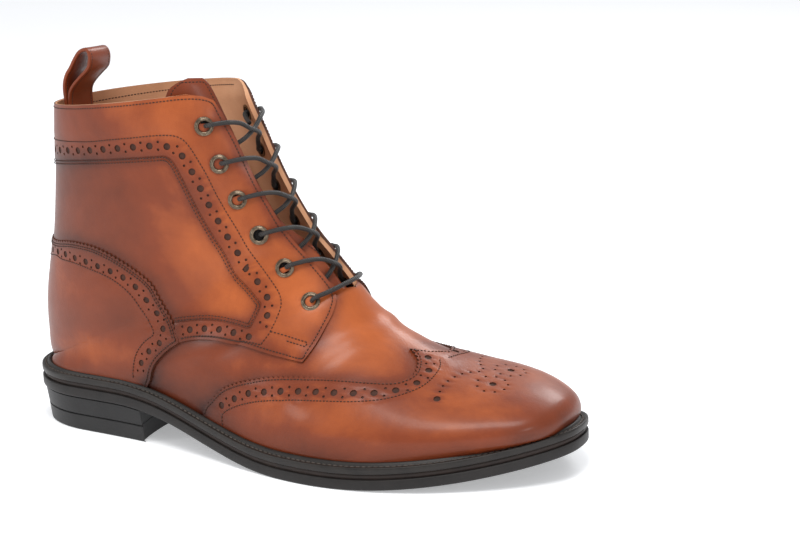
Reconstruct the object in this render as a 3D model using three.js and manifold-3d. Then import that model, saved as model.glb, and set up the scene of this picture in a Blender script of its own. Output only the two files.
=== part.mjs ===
// Brogue boot for the right foot, in millimetres, +Z up, toe towards +X, lateral side towards -Y.
// The origin is the middle of the heel's bottom face, on the floor.
import * as THREE from 'three';
import { mergeVertices } from 'three/addons/utils/BufferGeometryUtils.js';
import Module from 'manifold-3d';

const wasm = await Module();
wasm.setup();

// Driving sizes of the sole
const OUTSOLE_LENGTH = 304;
const BALL_WIDTH = 108;
const SEAT_HEIGHT = 30;
const OUTSOLE_THICKNESS = 5.3;
const MIDSOLE_THICKNESS = 2.1;
const MIDSOLE_RECESS = 1.6;
const WELT_THICKNESS = 3.5;
const TOE_SPRING = 14;
const TOE_SWING = 9;
const HEEL_LENGTH = 80;
const TOP_LIFT = 8.5;
const HEEL_TAPER = 1.6;
const BREAST_DEPTH = 5;
const WELT_WIDTH_FORE = 7;
const WELT_WIDTH_HEEL = 5;
const BEAD_HEIGHT = 1.2;
const BEAD_WIDTH = 1.6;
const INSOLE_RISE = 2.2;

// Driving sizes of the upper
const INSTEP_HEIGHT = 83;
const COLLAR_BACK = 167;
const COLLAR_FRONT = 179.6;
const COLLAR_WIDTH = 67.8;
const UPPER_WALL = 2.2;
const OVERLAY = 1.2;
const TONGUE_THICKNESS = 2;
const LACE_ROOM = 3.7;
const LACE_CLEARANCE = 1.4;

// Driving sizes of the small parts
const GAP = 0.3;
const EYELET_HOLE = 5.2;
const EYELET_FLANGE = 9.4;
const EYELET_DOME = 0.9;
const EYELET_WALL = 0.4;
const LACE_DIAMETER = 2.3;
const LOOP_WIDTH = 19;
const LOOP_THICKNESS = 1.8;
const LOOP_RISE = 28.5;
const LOOP_LEAN = 17;
const LOOP_TAIL = 12;
const LOOP_TWIST = 2;
const LOOP_DROP = 1.5;

const SOLE_THICKNESS = OUTSOLE_THICKNESS + MIDSOLE_THICKNESS + WELT_THICKNESS + 2 * GAP;
const HEEL_RISE = SEAT_HEIGHT - SOLE_THICKNESS;
const FACING_SURFACE = GAP + OVERLAY;

// Sole outline: share of the length, lateral and medial half widths as shares of the ball width
const OUTLINE = [
  { at: 0.00, lateral: 0.306, medial: 0.324 },
  { at: 0.12, lateral: 0.324, medial: 0.329 },
  { at: 0.22, lateral: 0.338, medial: 0.315 },
  { at: 0.32, lateral: 0.366, medial: 0.292 },
  { at: 0.42, lateral: 0.417, medial: 0.296 },
  { at: 0.52, lateral: 0.472, medial: 0.356 },
  { at: 0.62, lateral: 0.509, medial: 0.440 },
  { at: 0.70, lateral: 0.500, medial: 0.491 },
  { at: 0.78, lateral: 0.458, medial: 0.514 },
  { at: 0.88, lateral: 0.394, medial: 0.500 },
  { at: 1.00, lateral: 0.306, medial: 0.450 },
];
const HEEL_CAP = 0.125;
const HEEL_CAP_POWER = 2.2;
const TOE_CAP = 0.27;
const TOE_CAP_POWER = 2.25;

// The sole's underside along the length: seat, arch, ball on the floor, toe spring
const ARCH_START = 0.21;
const ARCH_END = 0.57;
const SPRING_START = 0.66;
const SPRING_POWER = 1.9;

// Sections of the upper, fanned from the toe over the instep to the collar.
// back: place of the section's lower end, share of the length. rise: its height, share from seat to collar.
// front: place of its ridge. instep: ridge height as a share of the instep height above the sole.
// shaft: ridge height as a share from instep to collar front. leg: 0 takes its width from the ball, 1 from the collar.
// lateral, medial: half widths. widest: height of the widest place. Powers: how full the section is.
// shift: the ridge's place towards medial, share of the ball width. lift: cross slope of the top, medial side up.
const SECTION_COLUMNS = ['back', 'rise', 'front', 'instep', 'shaft', 'leg', 'lateral', 'medial', 'widest',
  'lateralPower', 'medialPower', 'lowPower', 'shift', 'lift'];
const SECTION_ROWS = [
  [0.977, 0, 0.977, 0.000, 0, 0, 0.010, 0.010, 0.50, 2.00, 2.00, 2.00, 0.083, 0.00],
  [0.965, 0, 0.980, 0.125, 0, 0, 0.138, 0.155, 0.34, 2.20, 1.75, 2.00, 0.083, 0.02],
  [0.934, 0, 0.964, 0.252, 0, 0, 0.232, 0.262, 0.33, 2.20, 1.75, 2.00, 0.083, 0.04],
  [0.882, 0, 0.918, 0.345, 0, 0, 0.305, 0.365, 0.33, 2.20, 1.85, 2.00, 0.079, 0.08],
  [0.816, 0, 0.862, 0.410, 0, 0, 0.370, 0.424, 0.33, 2.10, 2.05, 2.00, 0.074, 0.08],
  [0.737, 0, 0.799, 0.482, 0, 0, 0.421, 0.430, 0.32, 2.00, 2.00, 2.00, 0.069, 0.08],
  [0.651, 0, 0.740, 0.572, 0, 0, 0.449, 0.410, 0.31, 1.95, 1.80, 2.00, 0.065, 0.08],
  [0.566, 0, 0.691, 0.668, 0, 0, 0.440, 0.389, 0.31, 1.90, 1.90, 2.00, 0.060, 0.07],
  [0.477, 0, 0.655, 0.763, 0, 0, 0.403, 0.361, 0.33, 1.85, 2.10, 2.00, 0.056, 0.06],
  [0.382, 0, 0.630, 0.870, 0, 0.5, 0.444, 0.410, 0.36, 1.80, 2.00, 2.00, 0.046, 0.05],
  [0.276, 0, 0.610, 1.000, 0.000, 1, 0.524, 0.502, 0.38, 1.80, 1.95, 2.10, 0.042, 0.04],
  [0.171, 0, 0.592, 1.000, 0.083, 1, 0.487, 0.487, 0.40, 1.80, 1.90, 2.10, 0.037, 0.03],
  [0.079, 0, 0.574, 1.000, 0.166, 1, 0.472, 0.472, 0.42, 1.80, 1.90, 2.10, 0.032, 0.02],
  [0.020, 0.000, 0.554, 1.000, 0.248, 1, 0.472, 0.472, 0.42, 1.80, 1.90, 2.10, 0.028, 0.01],
  [0.013, 0.122, 0.533, 1.000, 0.342, 1, 0.479, 0.479, 0.42, 1.85, 1.90, 2.10, 0.023, 0.00],
  [0.015, 0.254, 0.512, 1.000, 0.440, 1, 0.472, 0.472, 0.44, 1.90, 1.90, 2.10, 0.019, 0.00],
  [0.026, 0.393, 0.490, 1.000, 0.544, 1, 0.472, 0.472, 0.46, 1.90, 1.95, 2.05, 0.014, 0.00],
  [0.039, 0.532, 0.470, 1.000, 0.652, 1, 0.472, 0.472, 0.48, 2.00, 2.00, 2.05, 0.009, 0.00],
  [0.049, 0.678, 0.451, 1.000, 0.766, 1, 0.479, 0.479, 0.50, 2.00, 2.00, 2.05, 0.009, 0.00],
  [0.058, 0.835, 0.431, 1.000, 0.880, 1, 0.487, 0.487, 0.50, 2.00, 2.00, 2.05, 0.009, 0.00],
  [0.065, 1.000, 0.4125, 1.000, 1.000, 1, 0.499, 0.501, 0.50, 2.05, 2.05, 2.05, 0.009, 0.00],
];
const LAST_SECTION = SECTION_ROWS.length - 1;
const HEEL_SECTION = SECTION_ROWS.findIndex(([, rise]) => rise > 0) - 1;

// Pattern tables on the upper: section, then two places across it.
// Places run from 0 at the ridge to 1 at the sole or the back seam; lateral ones are negative.
const BEYOND_RIDGE = 0.03;
const THROAT = [[9.9, -0.02, 0.02], [10.1, -0.055, 0.055], [10.6, -0.075, 0.075], [12, -0.075, 0.075],
  [14, -0.075, 0.075], [16, -0.08, 0.08], [18, -0.09, 0.09], [19.1, -0.10, 0.10], [19.7, -0.12, 0.12],
  [20.6, -0.19, 0.19]];
const FACING = [[20.6, 0, 1], [19.4, 0, 1], [18.78, 0, 1], [18.6, 0, 0.68], [18.45, 0, 0.54], [18.3, 0, 0.40],
  [18.12, 0, 0.31], [17.55, 0, 0.29], [16.6, 0, 0.27], [15.1, 0, 0.24], [13.8, 0, 0.225], [12.05, 0, 0.25],
  [11.1, 0, 0.29], [10.6, 0, 0.35], [10.38, 0, 0.405], [10.32, 0.03, 0.53], [9.85, 0.085, 0.51],
  [9.6, 0.13, 0.50], [9.3, 0.18, 0.48], [8.9, 0.27, 0.46], [8.65, 0.35, 0.445], [8.45, 0.42, 0.435]];
const STRIP = [[11.78, 0.515, 0.60], [11.45, 0.47, 0.58], [11.05, 0.435, 0.565], [10.6, 0.41, 0.54],
  [9.8, 0.33, 0.46]];
const COUNTER = [[16.85, 0.96, 1], [16.7, 0.88, 1], [16.3, 0.76, 1], [15.9, 0.67, 1], [15.3, 0.58, 1],
  [14.75, 0.51, 1], [14.25, 0.47, 1], [13.65, 0.45, 1], [13.02, 0.45, 1], [12.97, 0.45, 1], [12.8, 0.455, 1],
  [12.45, 0.475, 1], [11.95, 0.525, 1], [11.5, 0.61, 1], [11.05, 0.68, 1], [10.8, 0.76, 1], [10.55, 0.83, 1],
  [10.25, 0.92, 1]];
const WING = [[9.1, 0.80, 1], [9.02, 0.71, 1], [8.7, 0.60, 1], [8.0, 0.52, 1], [7.0, 0.44, 1], [6.25, 0.38, 1],
  [5.9, 0.33, 1], [5.8, 0.27, 1], [5.75, 0, 1], [4, 0, 1], [2.5, 0, 1], [1.3, 0, 1]];
const WING_WHOLE = 0.945;
const WING_PEAK = [[6.5, 0, 0.03], [6.4, 0, 0.06], [6.2, 0, 0.10], [5.9, 0, 0.16], [5.8, 0, 0.26],
  [5.6, 0, 0.30]];
// Tongue: section, lateral edge, medial edge, depth of its face under the upper's outside
const TONGUE = [[9.2, -0.20, 0.17, 0.1], [9.8, -0.23, 0.18, 0.2], [10.5, -0.28, 0.15, 1], [12, -0.33, 0.03, 1],
  [14, -0.35, -0.06, 1], [16, -0.35, -0.07, 1], [18, -0.33, -0.07, 1], [19.4, -0.31, -0.07, 1],
  [20.3, -0.27, -0.08, 1], [20.75, -0.19, -0.11, 1]];
// Pull loop: its middle line from the back leg over the top to the front leg, as shares of its lean and its rise
const LOOP_PATH = [[-0.02, 0.04], [-0.035, 0.21], [-0.005, 0.355], [0.095, 0.50], [0.255, 0.62], [0.41, 0.76],
  [0.58, 0.888], [0.71, 0.944], [0.86, 0.968], [0.95, 0.944], [1.0, 0.867], [0.995, 0.775], [0.905, 0.628],
  [0.64, 0.488], [0.37, 0.344], [0.19, 0.207]];
// Eyelets: section and place across it, from the collar down
const EYELETS = [[18.75, 0.17], [17.25, 0.165], [15.7, 0.155], [14.05, 0.15], [12.2, 0.15], [10.25, 0.175]];

const clamp = (value, low, high) => Math.min(Math.max(value, low), high);
const mix = (from, to, share) => from + (to - from) * share;

// Smooth curve through a table's rows, with tangents from the neighbouring rows
function smooth(rows, column, place) {
  const last = rows.length - 1;
  const x = clamp(place, rows[0].at, rows[last].at);
  let i = 0;
  while (i < last - 1 && x > rows[i + 1].at) i += 1;
  const slope = (k) => {
    const before = rows[Math.max(k - 1, 0)];
    const after = rows[Math.min(k + 1, last)];
    return (after[column] - before[column]) / (after.at - before.at);
  };
  const step = rows[i + 1].at - rows[i].at;
  const s = (x - rows[i].at) / step;
  const start = (2 * s ** 3 - 3 * s ** 2 + 1) * rows[i][column];
  const end = (3 * s ** 2 - 2 * s ** 3) * rows[i + 1][column];
  const bend = (s ** 3 - 2 * s ** 2 + s) * slope(i) + (s ** 3 - s ** 2) * slope(i + 1);
  return start + end + step * bend;
}

// Rounded ends of the sole's outline
function endCap(share) {
  const heel = clamp(1 - share / HEEL_CAP, 0, 1);
  const toe = clamp(1 - (1 - share) / TOE_CAP, 0, 1);
  return (1 - heel ** HEEL_CAP_POWER) ** (1 / HEEL_CAP_POWER) * (1 - toe ** TOE_CAP_POWER) ** (1 / TOE_CAP_POWER);
}

const halfWidth = (share, side) => smooth(OUTLINE, side < 0 ? 'lateral' : 'medial', share) * BALL_WIDTH;
const centreLine = (x) => TOE_SWING * clamp((x / OUTSOLE_LENGTH - 0.55) / 0.45, 0, 1) ** 2;

// A point of the sole's outline, inset all round
function outlinePoint(share, side, inset) {
  const x = inset + share * (OUTSOLE_LENGTH - 2 * inset);
  const y = centreLine(x) + side * (halfWidth(share, side) - inset) * endCap(share);
  return [x, y];
}

// Height of the sole's underside above the floor
function underside(x) {
  const share = clamp(x / OUTSOLE_LENGTH, 0, 1);
  const arch = clamp((share - ARCH_START) / (ARCH_END - ARCH_START), 0, 1);
  const spring = clamp((share - SPRING_START) / (1 - SPRING_START), 0, 1);
  return HEEL_RISE * (1 + Math.cos(Math.PI * arch)) / 2 + TOE_SPRING * spring ** SPRING_POWER;
}
const weltTop = (x) => underside(x) + SOLE_THICKNESS;

const weltWidth = (x) => mix(WELT_WIDTH_HEEL, WELT_WIDTH_FORE, clamp((x / OUTSOLE_LENGTH - 0.25) / 0.3, 0, 1));
const FEATHER_HEEL = SECTION_ROWS[HEEL_SECTION][0] * OUTSOLE_LENGTH;
const FEATHER_TOE = SECTION_ROWS[0][0] * OUTSOLE_LENGTH;

// Half width of the line where the upper meets the welt
function featherHalf(x, side) {
  const share = clamp((x - FEATHER_HEEL) / (FEATHER_TOE - FEATHER_HEEL), 0, 1);
  return (halfWidth(clamp(x / OUTSOLE_LENGTH, 0, 1), side) - weltWidth(x)) * endCap(share);
}

// One column of the section table at any section, on a smooth curve through the rows
function sectionValue(t, column) {
  const k = SECTION_COLUMNS.indexOf(column);
  const row = (i) => {
    if (i < 0) return 2 * SECTION_ROWS[0][k] - SECTION_ROWS[1][k];
    if (i > LAST_SECTION) return 2 * SECTION_ROWS[LAST_SECTION][k] - SECTION_ROWS[LAST_SECTION - 1][k];
    return SECTION_ROWS[i][k];
  };
  const i = clamp(Math.floor(t), 0, LAST_SECTION - 1);
  const s = t - i;
  const [a, b, c, d] = [row(i - 1), row(i), row(i + 1), row(i + 2)];
  return 0.5 * (2 * b + (c - a) * s + (2 * a - 5 * b + 4 * c - d) * s ** 2 + (3 * b - a - 3 * c + d) * s ** 3);
}

const SECTION_STEPS = 40;
const sectionCache = new Map();

// Half a section: its points as height share, width, and share of the girth from the sole up
function halfSection(t, side) {
  const key = `${t.toFixed(4)} ${side}`;
  if (sectionCache.has(key)) return sectionCache.get(key);
  const value = (column) => sectionValue(t, column);
  const backX = value('back') * OUTSOLE_LENGTH;
  const frontX = value('front') * OUTSOLE_LENGTH;
  const backZ = weltTop(backX) + clamp(value('rise'), 0, 2) * (COLLAR_BACK - weltTop(backX)) * (t > HEEL_SECTION);
  const baseZ = weltTop(Math.max(backX, 0));
  const frontZ = t <= 10
    ? mix(baseZ, INSTEP_HEIGHT, value('instep'))
    : mix(INSTEP_HEIGHT, COLLAR_FRONT, value('shaft'));
  const reference = mix(BALL_WIDTH, COLLAR_WIDTH, clamp(value('leg'), 0, 1));
  const widest = value(side < 0 ? 'lateral' : 'medial') * reference;
  const topPower = value(side < 0 ? 'lateralPower' : 'medialPower');
  const lowPower = value('lowPower');
  const waist = value('widest');
  const feather = t < HEEL_SECTION ? Math.min(featherHalf(backX, side), widest * 0.999) : 0;
  const points = [];
  const start = Math.asin((feather / widest) ** (lowPower / 2));
  for (let i = 0; i <= SECTION_STEPS; i += 1) {
    const angle = mix(start, Math.PI / 2, i / SECTION_STEPS);
    const fall = (Math.max(Math.cos(angle), 0) / Math.cos(start)) ** (2 / lowPower);
    points.push([waist * (1 - fall), widest * Math.sin(angle) ** (2 / lowPower)]);
  }
  for (let i = 1; i <= SECTION_STEPS; i += 1) {
    const angle = Math.PI / 2 * (1 + i / SECTION_STEPS);
    const climb = Math.max(-Math.cos(angle), 0) ** (2 / topPower);
    points.push([mix(waist, 1, climb), widest * Math.max(Math.sin(angle), 0) ** (2 / topPower)]);
  }
  const reach = Math.hypot(frontX - backX, frontZ - backZ);
  const girth = [0];
  for (let i = 1; i < points.length; i += 1) {
    const rise = (points[i][0] - points[i - 1][0]) * reach;
    girth.push(girth[i - 1] + Math.hypot(rise, points[i][1] - points[i - 1][1]));
  }
  const total = girth[girth.length - 1] || 1;
  const section = {
    points,
    shares: girth.map((length) => length / total),
    back: [backX, backZ],
    front: [frontX, frontZ],
    low: t < HEEL_SECTION ? centreLine(backX) : 0,
    shift: value('shift') * BALL_WIDTH,
    lift: value('lift'),
  };
  sectionCache.set(key, section);
  return section;
}

// A point of the upper's outside. u is 0 on the ridge, -1 and 1 at the sole or the back seam.
function surfaceInside(t, u) {
  const side = u < 0 ? -1 : 1;
  const section = halfSection(t, side);
  const share = 1 - Math.min(Math.abs(u), 1);
  let i = 1;
  while (i < section.shares.length - 1 && section.shares[i] < share) i += 1;
  const span = section.shares[i] - section.shares[i - 1] || 1;
  const s = clamp((share - section.shares[i - 1]) / span, 0, 1);
  const height = mix(section.points[i - 1][0], section.points[i][0], s);
  const across = side * mix(section.points[i - 1][1], section.points[i][1], s);
  const x = mix(section.back[0], section.front[0], height);
  const y = mix(section.low, section.shift, height) + across;
  const z = mix(section.back[1], section.front[1], height) + section.lift * across * height;
  return new THREE.Vector3(x, y, z);
}

// Past the collar the surface runs on straight
function surface(t, u) {
  if (t <= LAST_SECTION) return surfaceInside(Math.max(t, 0), u);
  const edge = surfaceInside(LAST_SECTION, u);
  const below = surfaceInside(LAST_SECTION - 1, u);
  return edge.clone().addScaledVector(edge.clone().sub(below), t - LAST_SECTION);
}

// Outward direction of the upper's surface
function outward(t, u) {
  const dt = 0.05;
  const du = 0.01;
  const along = surface(t + dt, u).sub(surface(Math.max(t - dt, 0.05), u));
  const low = clamp(u - du, -1, 1);
  const high = clamp(u + du, -1, 1);
  const across = surface(Math.max(t, 0.05), high).sub(surface(Math.max(t, 0.05), low));
  return across.cross(along).normalize();
}
const lifted = (t, u, height) => surface(t, u).addScaledVector(outward(t, u), height);

// Solids and meshes
function toSolid(geometry) {
  const bare = geometry.clone();
  bare.deleteAttribute('normal');
  bare.deleteAttribute('uv');
  const merged = mergeVertices(bare, 1e-4);
  const index = merged.index.array;
  const triangles = [];
  for (let i = 0; i < index.length; i += 3) {
    const [a, b, c] = [index[i], index[i + 1], index[i + 2]];
    if (a !== b && b !== c && c !== a) triangles.push(a, b, c);
  }
  const mesh = new wasm.Mesh({
    numProp: 3,
    vertProperties: new Float32Array(merged.attributes.position.array),
    triVerts: new Uint32Array(triangles),
  });
  return new wasm.Manifold(mesh);
}

function toGeometry(solid) {
  const mesh = solid.getMesh();
  const geometry = new THREE.BufferGeometry();
  geometry.setAttribute('position', new THREE.BufferAttribute(new Float32Array(mesh.vertProperties), 3));
  geometry.setIndex(new THREE.BufferAttribute(new Uint32Array(mesh.triVerts), 1));
  return geometry;
}

// A closed skin over rows of points: each row is a ring, and the end rows are closed by a fan
function skin(rows) {
  const positions = [];
  const index = [];
  const width = rows[0].length;
  rows.forEach((row) => row.forEach((point) => positions.push(point.x, point.y, point.z)));
  for (let i = 0; i < rows.length - 1; i += 1) {
    for (let j = 0; j < width; j += 1) {
      const k = (j + 1) % width;
      const [a, b, c, d] = [i * width + j, i * width + k, (i + 1) * width + k, (i + 1) * width + j];
      index.push(a, b, c, a, c, d);
    }
  }
  [0, rows.length - 1].forEach((end) => {
    const middle = rows[end].reduce((sum, point) => sum.add(point), new THREE.Vector3()).divideScalar(width);
    const centre = positions.length / 3;
    positions.push(middle.x, middle.y, middle.z);
    for (let j = 0; j < width; j += 1) {
      const a = end * width + j;
      const b = end * width + (j + 1) % width;
      if (end === 0) index.push(centre, b, a);
      else index.push(centre, a, b);
    }
  });
  const geometry = new THREE.BufferGeometry();
  geometry.setAttribute('position', new THREE.BufferAttribute(new Float32Array(positions), 3));
  geometry.setIndex(index);
  return geometry;
}

// The same skin, turned inside out if its volume comes out negative
function outwardSolid(geometry) {
  const solid = toSolid(geometry);
  if (solid.volume() > 0) return solid;
  const index = geometry.index.array;
  const turned = [];
  for (let i = 0; i < index.length; i += 3) turned.push(index[i], index[i + 2], index[i + 1]);
  geometry.setIndex(turned);
  return toSolid(geometry);
}

// Sections used for the solids: close together at the toe and the heel corner
const STATIONS = [0.02, 0.35, 0.8, 1.4, 2, 2.8, 3.8, 5, 6.3, 7.6, 8.8, 10, 11, 11.9, 12.5, 12.85, 13, 13.7, 15, 16.5,
  18.2, 20];
const AROUND = [1, 0.86, 0.71, 0.56, 0.42, 0.29, 0.18, 0.08];

// The upper's outer form moved out by a height, or in by a negative one.
// A form may run on past the collar, and drop below the feather line.
const RUN_ON = 5;
function upperForm(height, runOn, drop) {
  const places = [...AROUND.map((v) => -v), 0, ...[...AROUND].reverse()];
  const rows = STATIONS.map((t) => {
    const row = places.map((u) => lifted(t, u, height));
    if (t >= HEEL_SECTION) {
      row[0].y = 0;
      row[row.length - 1].copy(row[0]);
    }
    const first = row[0].clone();
    const last = row[row.length - 1].clone();
    first.z -= t <= HEEL_SECTION ? drop : 0;
    last.z -= t <= HEEL_SECTION ? drop : 0;
    return [first, ...row, last];
  });
  if (runOn > 0) {
    const top = rows[rows.length - 1];
    const before = rows[rows.length - 2];
    rows.push(top.map((point, j) => point.clone().addScaledVector(point.clone().sub(before[j]).normalize(), runOn)));
  }
  return outwardSolid(skin(rows));
}

// A patch of the upper between two heights. A row is a section, then its start and end across it.
// A patch that reaches the sole or the back seam may run on past it.
const FEATHER_OVERRUN = 4;
const SEAM_OVERRUN = 2;
function patch(rows, low, high, columns, beyond) {
  const rings = rows.map(([t, from, to]) => {
    const outer = [];
    const inner = [];
    for (let j = 0; j <= columns; j += 1) {
      const u = mix(from, to, j / columns);
      outer.push(lifted(t, u, high));
      inner.push(lifted(t, u, low));
    }
    if (beyond && Math.abs(to) === 1) {
      const step = t < HEEL_SECTION
        ? new THREE.Vector3(0, 0, -FEATHER_OVERRUN)
        : new THREE.Vector3(0, -to * SEAM_OVERRUN, 0);
      outer.push(outer[columns].clone().add(step));
      inner.push(inner[columns].clone().add(step));
    } else if (beyond) {
      outer.push(outer[columns].clone());
      inner.push(inner[columns].clone());
    }
    return [...outer, ...inner.reverse()];
  });
  return outwardSolid(skin(rings));
}

// A cutter for an overlay on one side of the boot, from inside the wall to well outside it
const CUT_INSIDE = -3;
const CUT_OUTSIDE = 7;
const CUT_COLUMNS = 6;
function sideCutter(table, side) {
  const rows = table.map(([t, from, to]) => [t, side * (from === 0 ? -BEYOND_RIDGE : from), side * to]);
  return patch(rows, CUT_INSIDE, CUT_OUTSIDE, CUT_COLUMNS, true);
}

const material = (color, roughness, metalness = 0) => new THREE.MeshStandardMaterial({ color, roughness, metalness });
const LEATHER = material(0xb4602f, 0.4);
const LINING = material(0x8a5a3c, 0.8);
const RUBBER = material(0x2b2826, 0.65);
const WELT_RUBBER = material(0x3a332e, 0.6);
const MIDSOLE_RUBBER = material(0x33231c, 0.7);
const BRASS = material(0x8d7a58, 0.4, 0.9);
const LACE = material(0x47403c, 0.8);

const boot = new THREE.Group();
boot.position.x = -HEEL_LENGTH / 2;

function addPart(name, geometry, look) {
  const flat = geometry.index ? geometry.toNonIndexed() : geometry;
  flat.computeVertexNormals();
  const mesh = new THREE.Mesh(flat, look);
  mesh.name = name;
  boot.add(mesh);
}

// Sole pieces
const SOLE_SHARES = [];
const SOLE_STATIONS = 22;
for (let i = 0; i <= SOLE_STATIONS; i += 1) SOLE_SHARES.push((1 - Math.cos(Math.PI * i / SOLE_STATIONS)) / 2);

// A loop of the sole's outline at an inset and a height above the underside
function soleLoop(inset, height) {
  const point = (share, side) => {
    const [x, y] = outlinePoint(share, side, typeof inset === 'function' ? inset(share * OUTSOLE_LENGTH) : inset);
    return new THREE.Vector3(x, y, underside(x) + height);
  };
  return [
    ...SOLE_SHARES.map((share) => point(share, -1)),
    ...SOLE_SHARES.slice(1, -1).reverse().map((share) => point(share, 1)),
  ];
}

// Closes the end loop of a sole piece with strips from the lateral to the medial edge
function ladder(index, start, count, up) {
  const last = SOLE_STATIONS;
  const across = (i) => (i === 0 || i === last ? start + i : start + count - i);
  for (let i = 0; i < last; i += 1) {
    const [a, b, c, d] = [start + i, start + i + 1, across(i + 1), across(i)];
    const faces = [[a, b, c], [a, c, d]];
    faces.filter((face) => new Set(face).size === 3).forEach(([p, q, r]) => {
      if (up) index.push(p, q, r);
      else index.push(p, r, q);
    });
  }
}

// A sole piece from loops stacked from the bottom up
function soleLayer(loops) {
  const count = loops[0].length;
  const positions = [];
  const index = [];
  loops.flat().forEach((point) => positions.push(point.x, point.y, point.z));
  for (let k = 0; k < loops.length - 1; k += 1) {
    for (let j = 0; j < count; j += 1) {
      const n = (j + 1) % count;
      const [a, b, c, d] = [k * count + j, k * count + n, (k + 1) * count + n, (k + 1) * count + j];
      index.push(a, b, c, a, c, d);
    }
  }
  ladder(index, 0, count, false);
  ladder(index, (loops.length - 1) * count, count, true);
  const geometry = new THREE.BufferGeometry();
  geometry.setAttribute('position', new THREE.BufferAttribute(new Float32Array(positions), 3));
  geometry.setIndex(index);
  return outwardSolid(geometry);
}

// A ring round the sole with the profile given by loops in order
function soleRing(loops) {
  const count = loops[0].length;
  const positions = [];
  const index = [];
  loops.flat().forEach((point) => positions.push(point.x, point.y, point.z));
  for (let k = 0; k < loops.length; k += 1) {
    for (let j = 0; j < count; j += 1) {
      const n = (j + 1) % count;
      const m = (k + 1) % loops.length;
      const [a, b, c, d] = [k * count + j, k * count + n, m * count + n, m * count + j];
      index.push(a, b, c, a, c, d);
    }
  }
  const geometry = new THREE.BufferGeometry();
  geometry.setAttribute('position', new THREE.BufferAttribute(new Float32Array(positions), 3));
  geometry.setIndex(index);
  return outwardSolid(geometry);
}

const MIDSOLE_BOTTOM = OUTSOLE_THICKNESS + GAP;
const WELT_BOTTOM = MIDSOLE_BOTTOM + MIDSOLE_THICKNESS + GAP;
const EDGE_ROUND = 0.7;

const outsole = soleLayer([
  soleLoop(EDGE_ROUND, 0),
  soleLoop(0, EDGE_ROUND),
  soleLoop(0, OUTSOLE_THICKNESS),
]);

const midsole = soleLayer([
  soleLoop(MIDSOLE_RECESS, MIDSOLE_BOTTOM),
  soleLoop(MIDSOLE_RECESS, MIDSOLE_BOTTOM + MIDSOLE_THICKNESS),
]);

const underUpper = (x) => weltWidth(x) + UPPER_WALL;
const beadOut = (x) => (weltWidth(x) - BEAD_WIDTH) / 2;
const beadTop = (x) => beadOut(x) + BEAD_WIDTH / 2;
const beadIn = (x) => beadOut(x) + BEAD_WIDTH;
const welt = soleRing([
  soleLoop(0, WELT_BOTTOM),
  soleLoop(0, SOLE_THICKNESS),
  soleLoop(beadOut, SOLE_THICKNESS),
  soleLoop(beadTop, SOLE_THICKNESS + BEAD_HEIGHT),
  soleLoop(beadIn, SOLE_THICKNESS),
  soleLoop(underUpper, SOLE_THICKNESS),
  soleLoop(underUpper, WELT_BOTTOM),
]);

// What the upper and its overlays keep clear of: the welt's top and its bead
const weltRoom = soleLayer([
  soleLoop(-WELT_WIDTH_FORE, 0),
  soleLoop(-WELT_WIDTH_FORE, SOLE_THICKNESS + GAP),
  soleLoop((x) => beadOut(x) - GAP, SOLE_THICKNESS + GAP),
  soleLoop((x) => beadTop(x), SOLE_THICKNESS + BEAD_HEIGHT + GAP),
  soleLoop((x) => beadIn(x) + GAP, SOLE_THICKNESS + GAP),
]);

// Heel: a block under the seat with a hollow breast, and a top lift below it
const HEEL_STATIONS = 12;
function heelPiece(levels) {
  const rows = levels.map(({ inset, z }) => {
    const end = HEEL_LENGTH / OUTSOLE_LENGTH;
    const shares = [];
    for (let i = 0; i <= HEEL_STATIONS; i += 1) shares.push(end * (1 - Math.cos(Math.PI / 2 * i / HEEL_STATIONS)));
    const point = (share, side) => {
      const [x, y] = outlinePoint(share, side, inset);
      return new THREE.Vector3(x, y, z(x));
    };
    return [...shares.map((s) => point(s, -1)), ...shares.slice(1).reverse().map((s) => point(s, 1))];
  });
  const block = outwardSolid(skin(rows));
  const radius = (BALL_WIDTH / 3) ** 2 / (2 * BREAST_DEPTH);
  const hollow = new THREE.CylinderGeometry(radius, radius, SEAT_HEIGHT * 3, 48);
  hollow.rotateX(Math.PI / 2);
  hollow.translate(HEEL_LENGTH - BREAST_DEPTH + radius, 0, 0);
  return block.subtract(toSolid(hollow));
}
const heelBlock = heelPiece([
  { inset: 1 + HEEL_TAPER * 0.6, z: () => TOP_LIFT + GAP },
  { inset: 1, z: (x) => underside(x) - GAP },
]);
const topLift = heelPiece([
  { inset: 1 + HEEL_TAPER, z: () => 0 },
  { inset: 1 + HEEL_TAPER * 0.6, z: () => TOP_LIFT },
]);

// Upper: one wall, open at the collar, down the throat and underneath
const outerForm = upperForm(0, 0, 1).subtract(weltRoom);
const innerForm = upperForm(-UPPER_WALL, RUN_ON, RUN_ON);
const overlayInside = upperForm(GAP, RUN_ON, RUN_ON);
const overlayOutside = upperForm(FACING_SURFACE, 0, 1).subtract(weltRoom);

// Insole: inside the upper's wall, from the midsole up over the welt's inner edge
const insole = soleLayer([
  soleLoop((x) => weltWidth(x) + UPPER_WALL + 2 * GAP, WELT_BOTTOM),
  soleLoop((x) => weltWidth(x) + UPPER_WALL + 2 * GAP, SOLE_THICKNESS + INSOLE_RISE),
]).intersect(upperForm(-(UPPER_WALL + 3 * GAP), 0, SOLE_THICKNESS));
const THROAT_DEPTH = 9;
const THROAT_COLUMNS = 4;
const throat = patch(THROAT, -THROAT_DEPTH, CUT_OUTSIDE, THROAT_COLUMNS, false);

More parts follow.
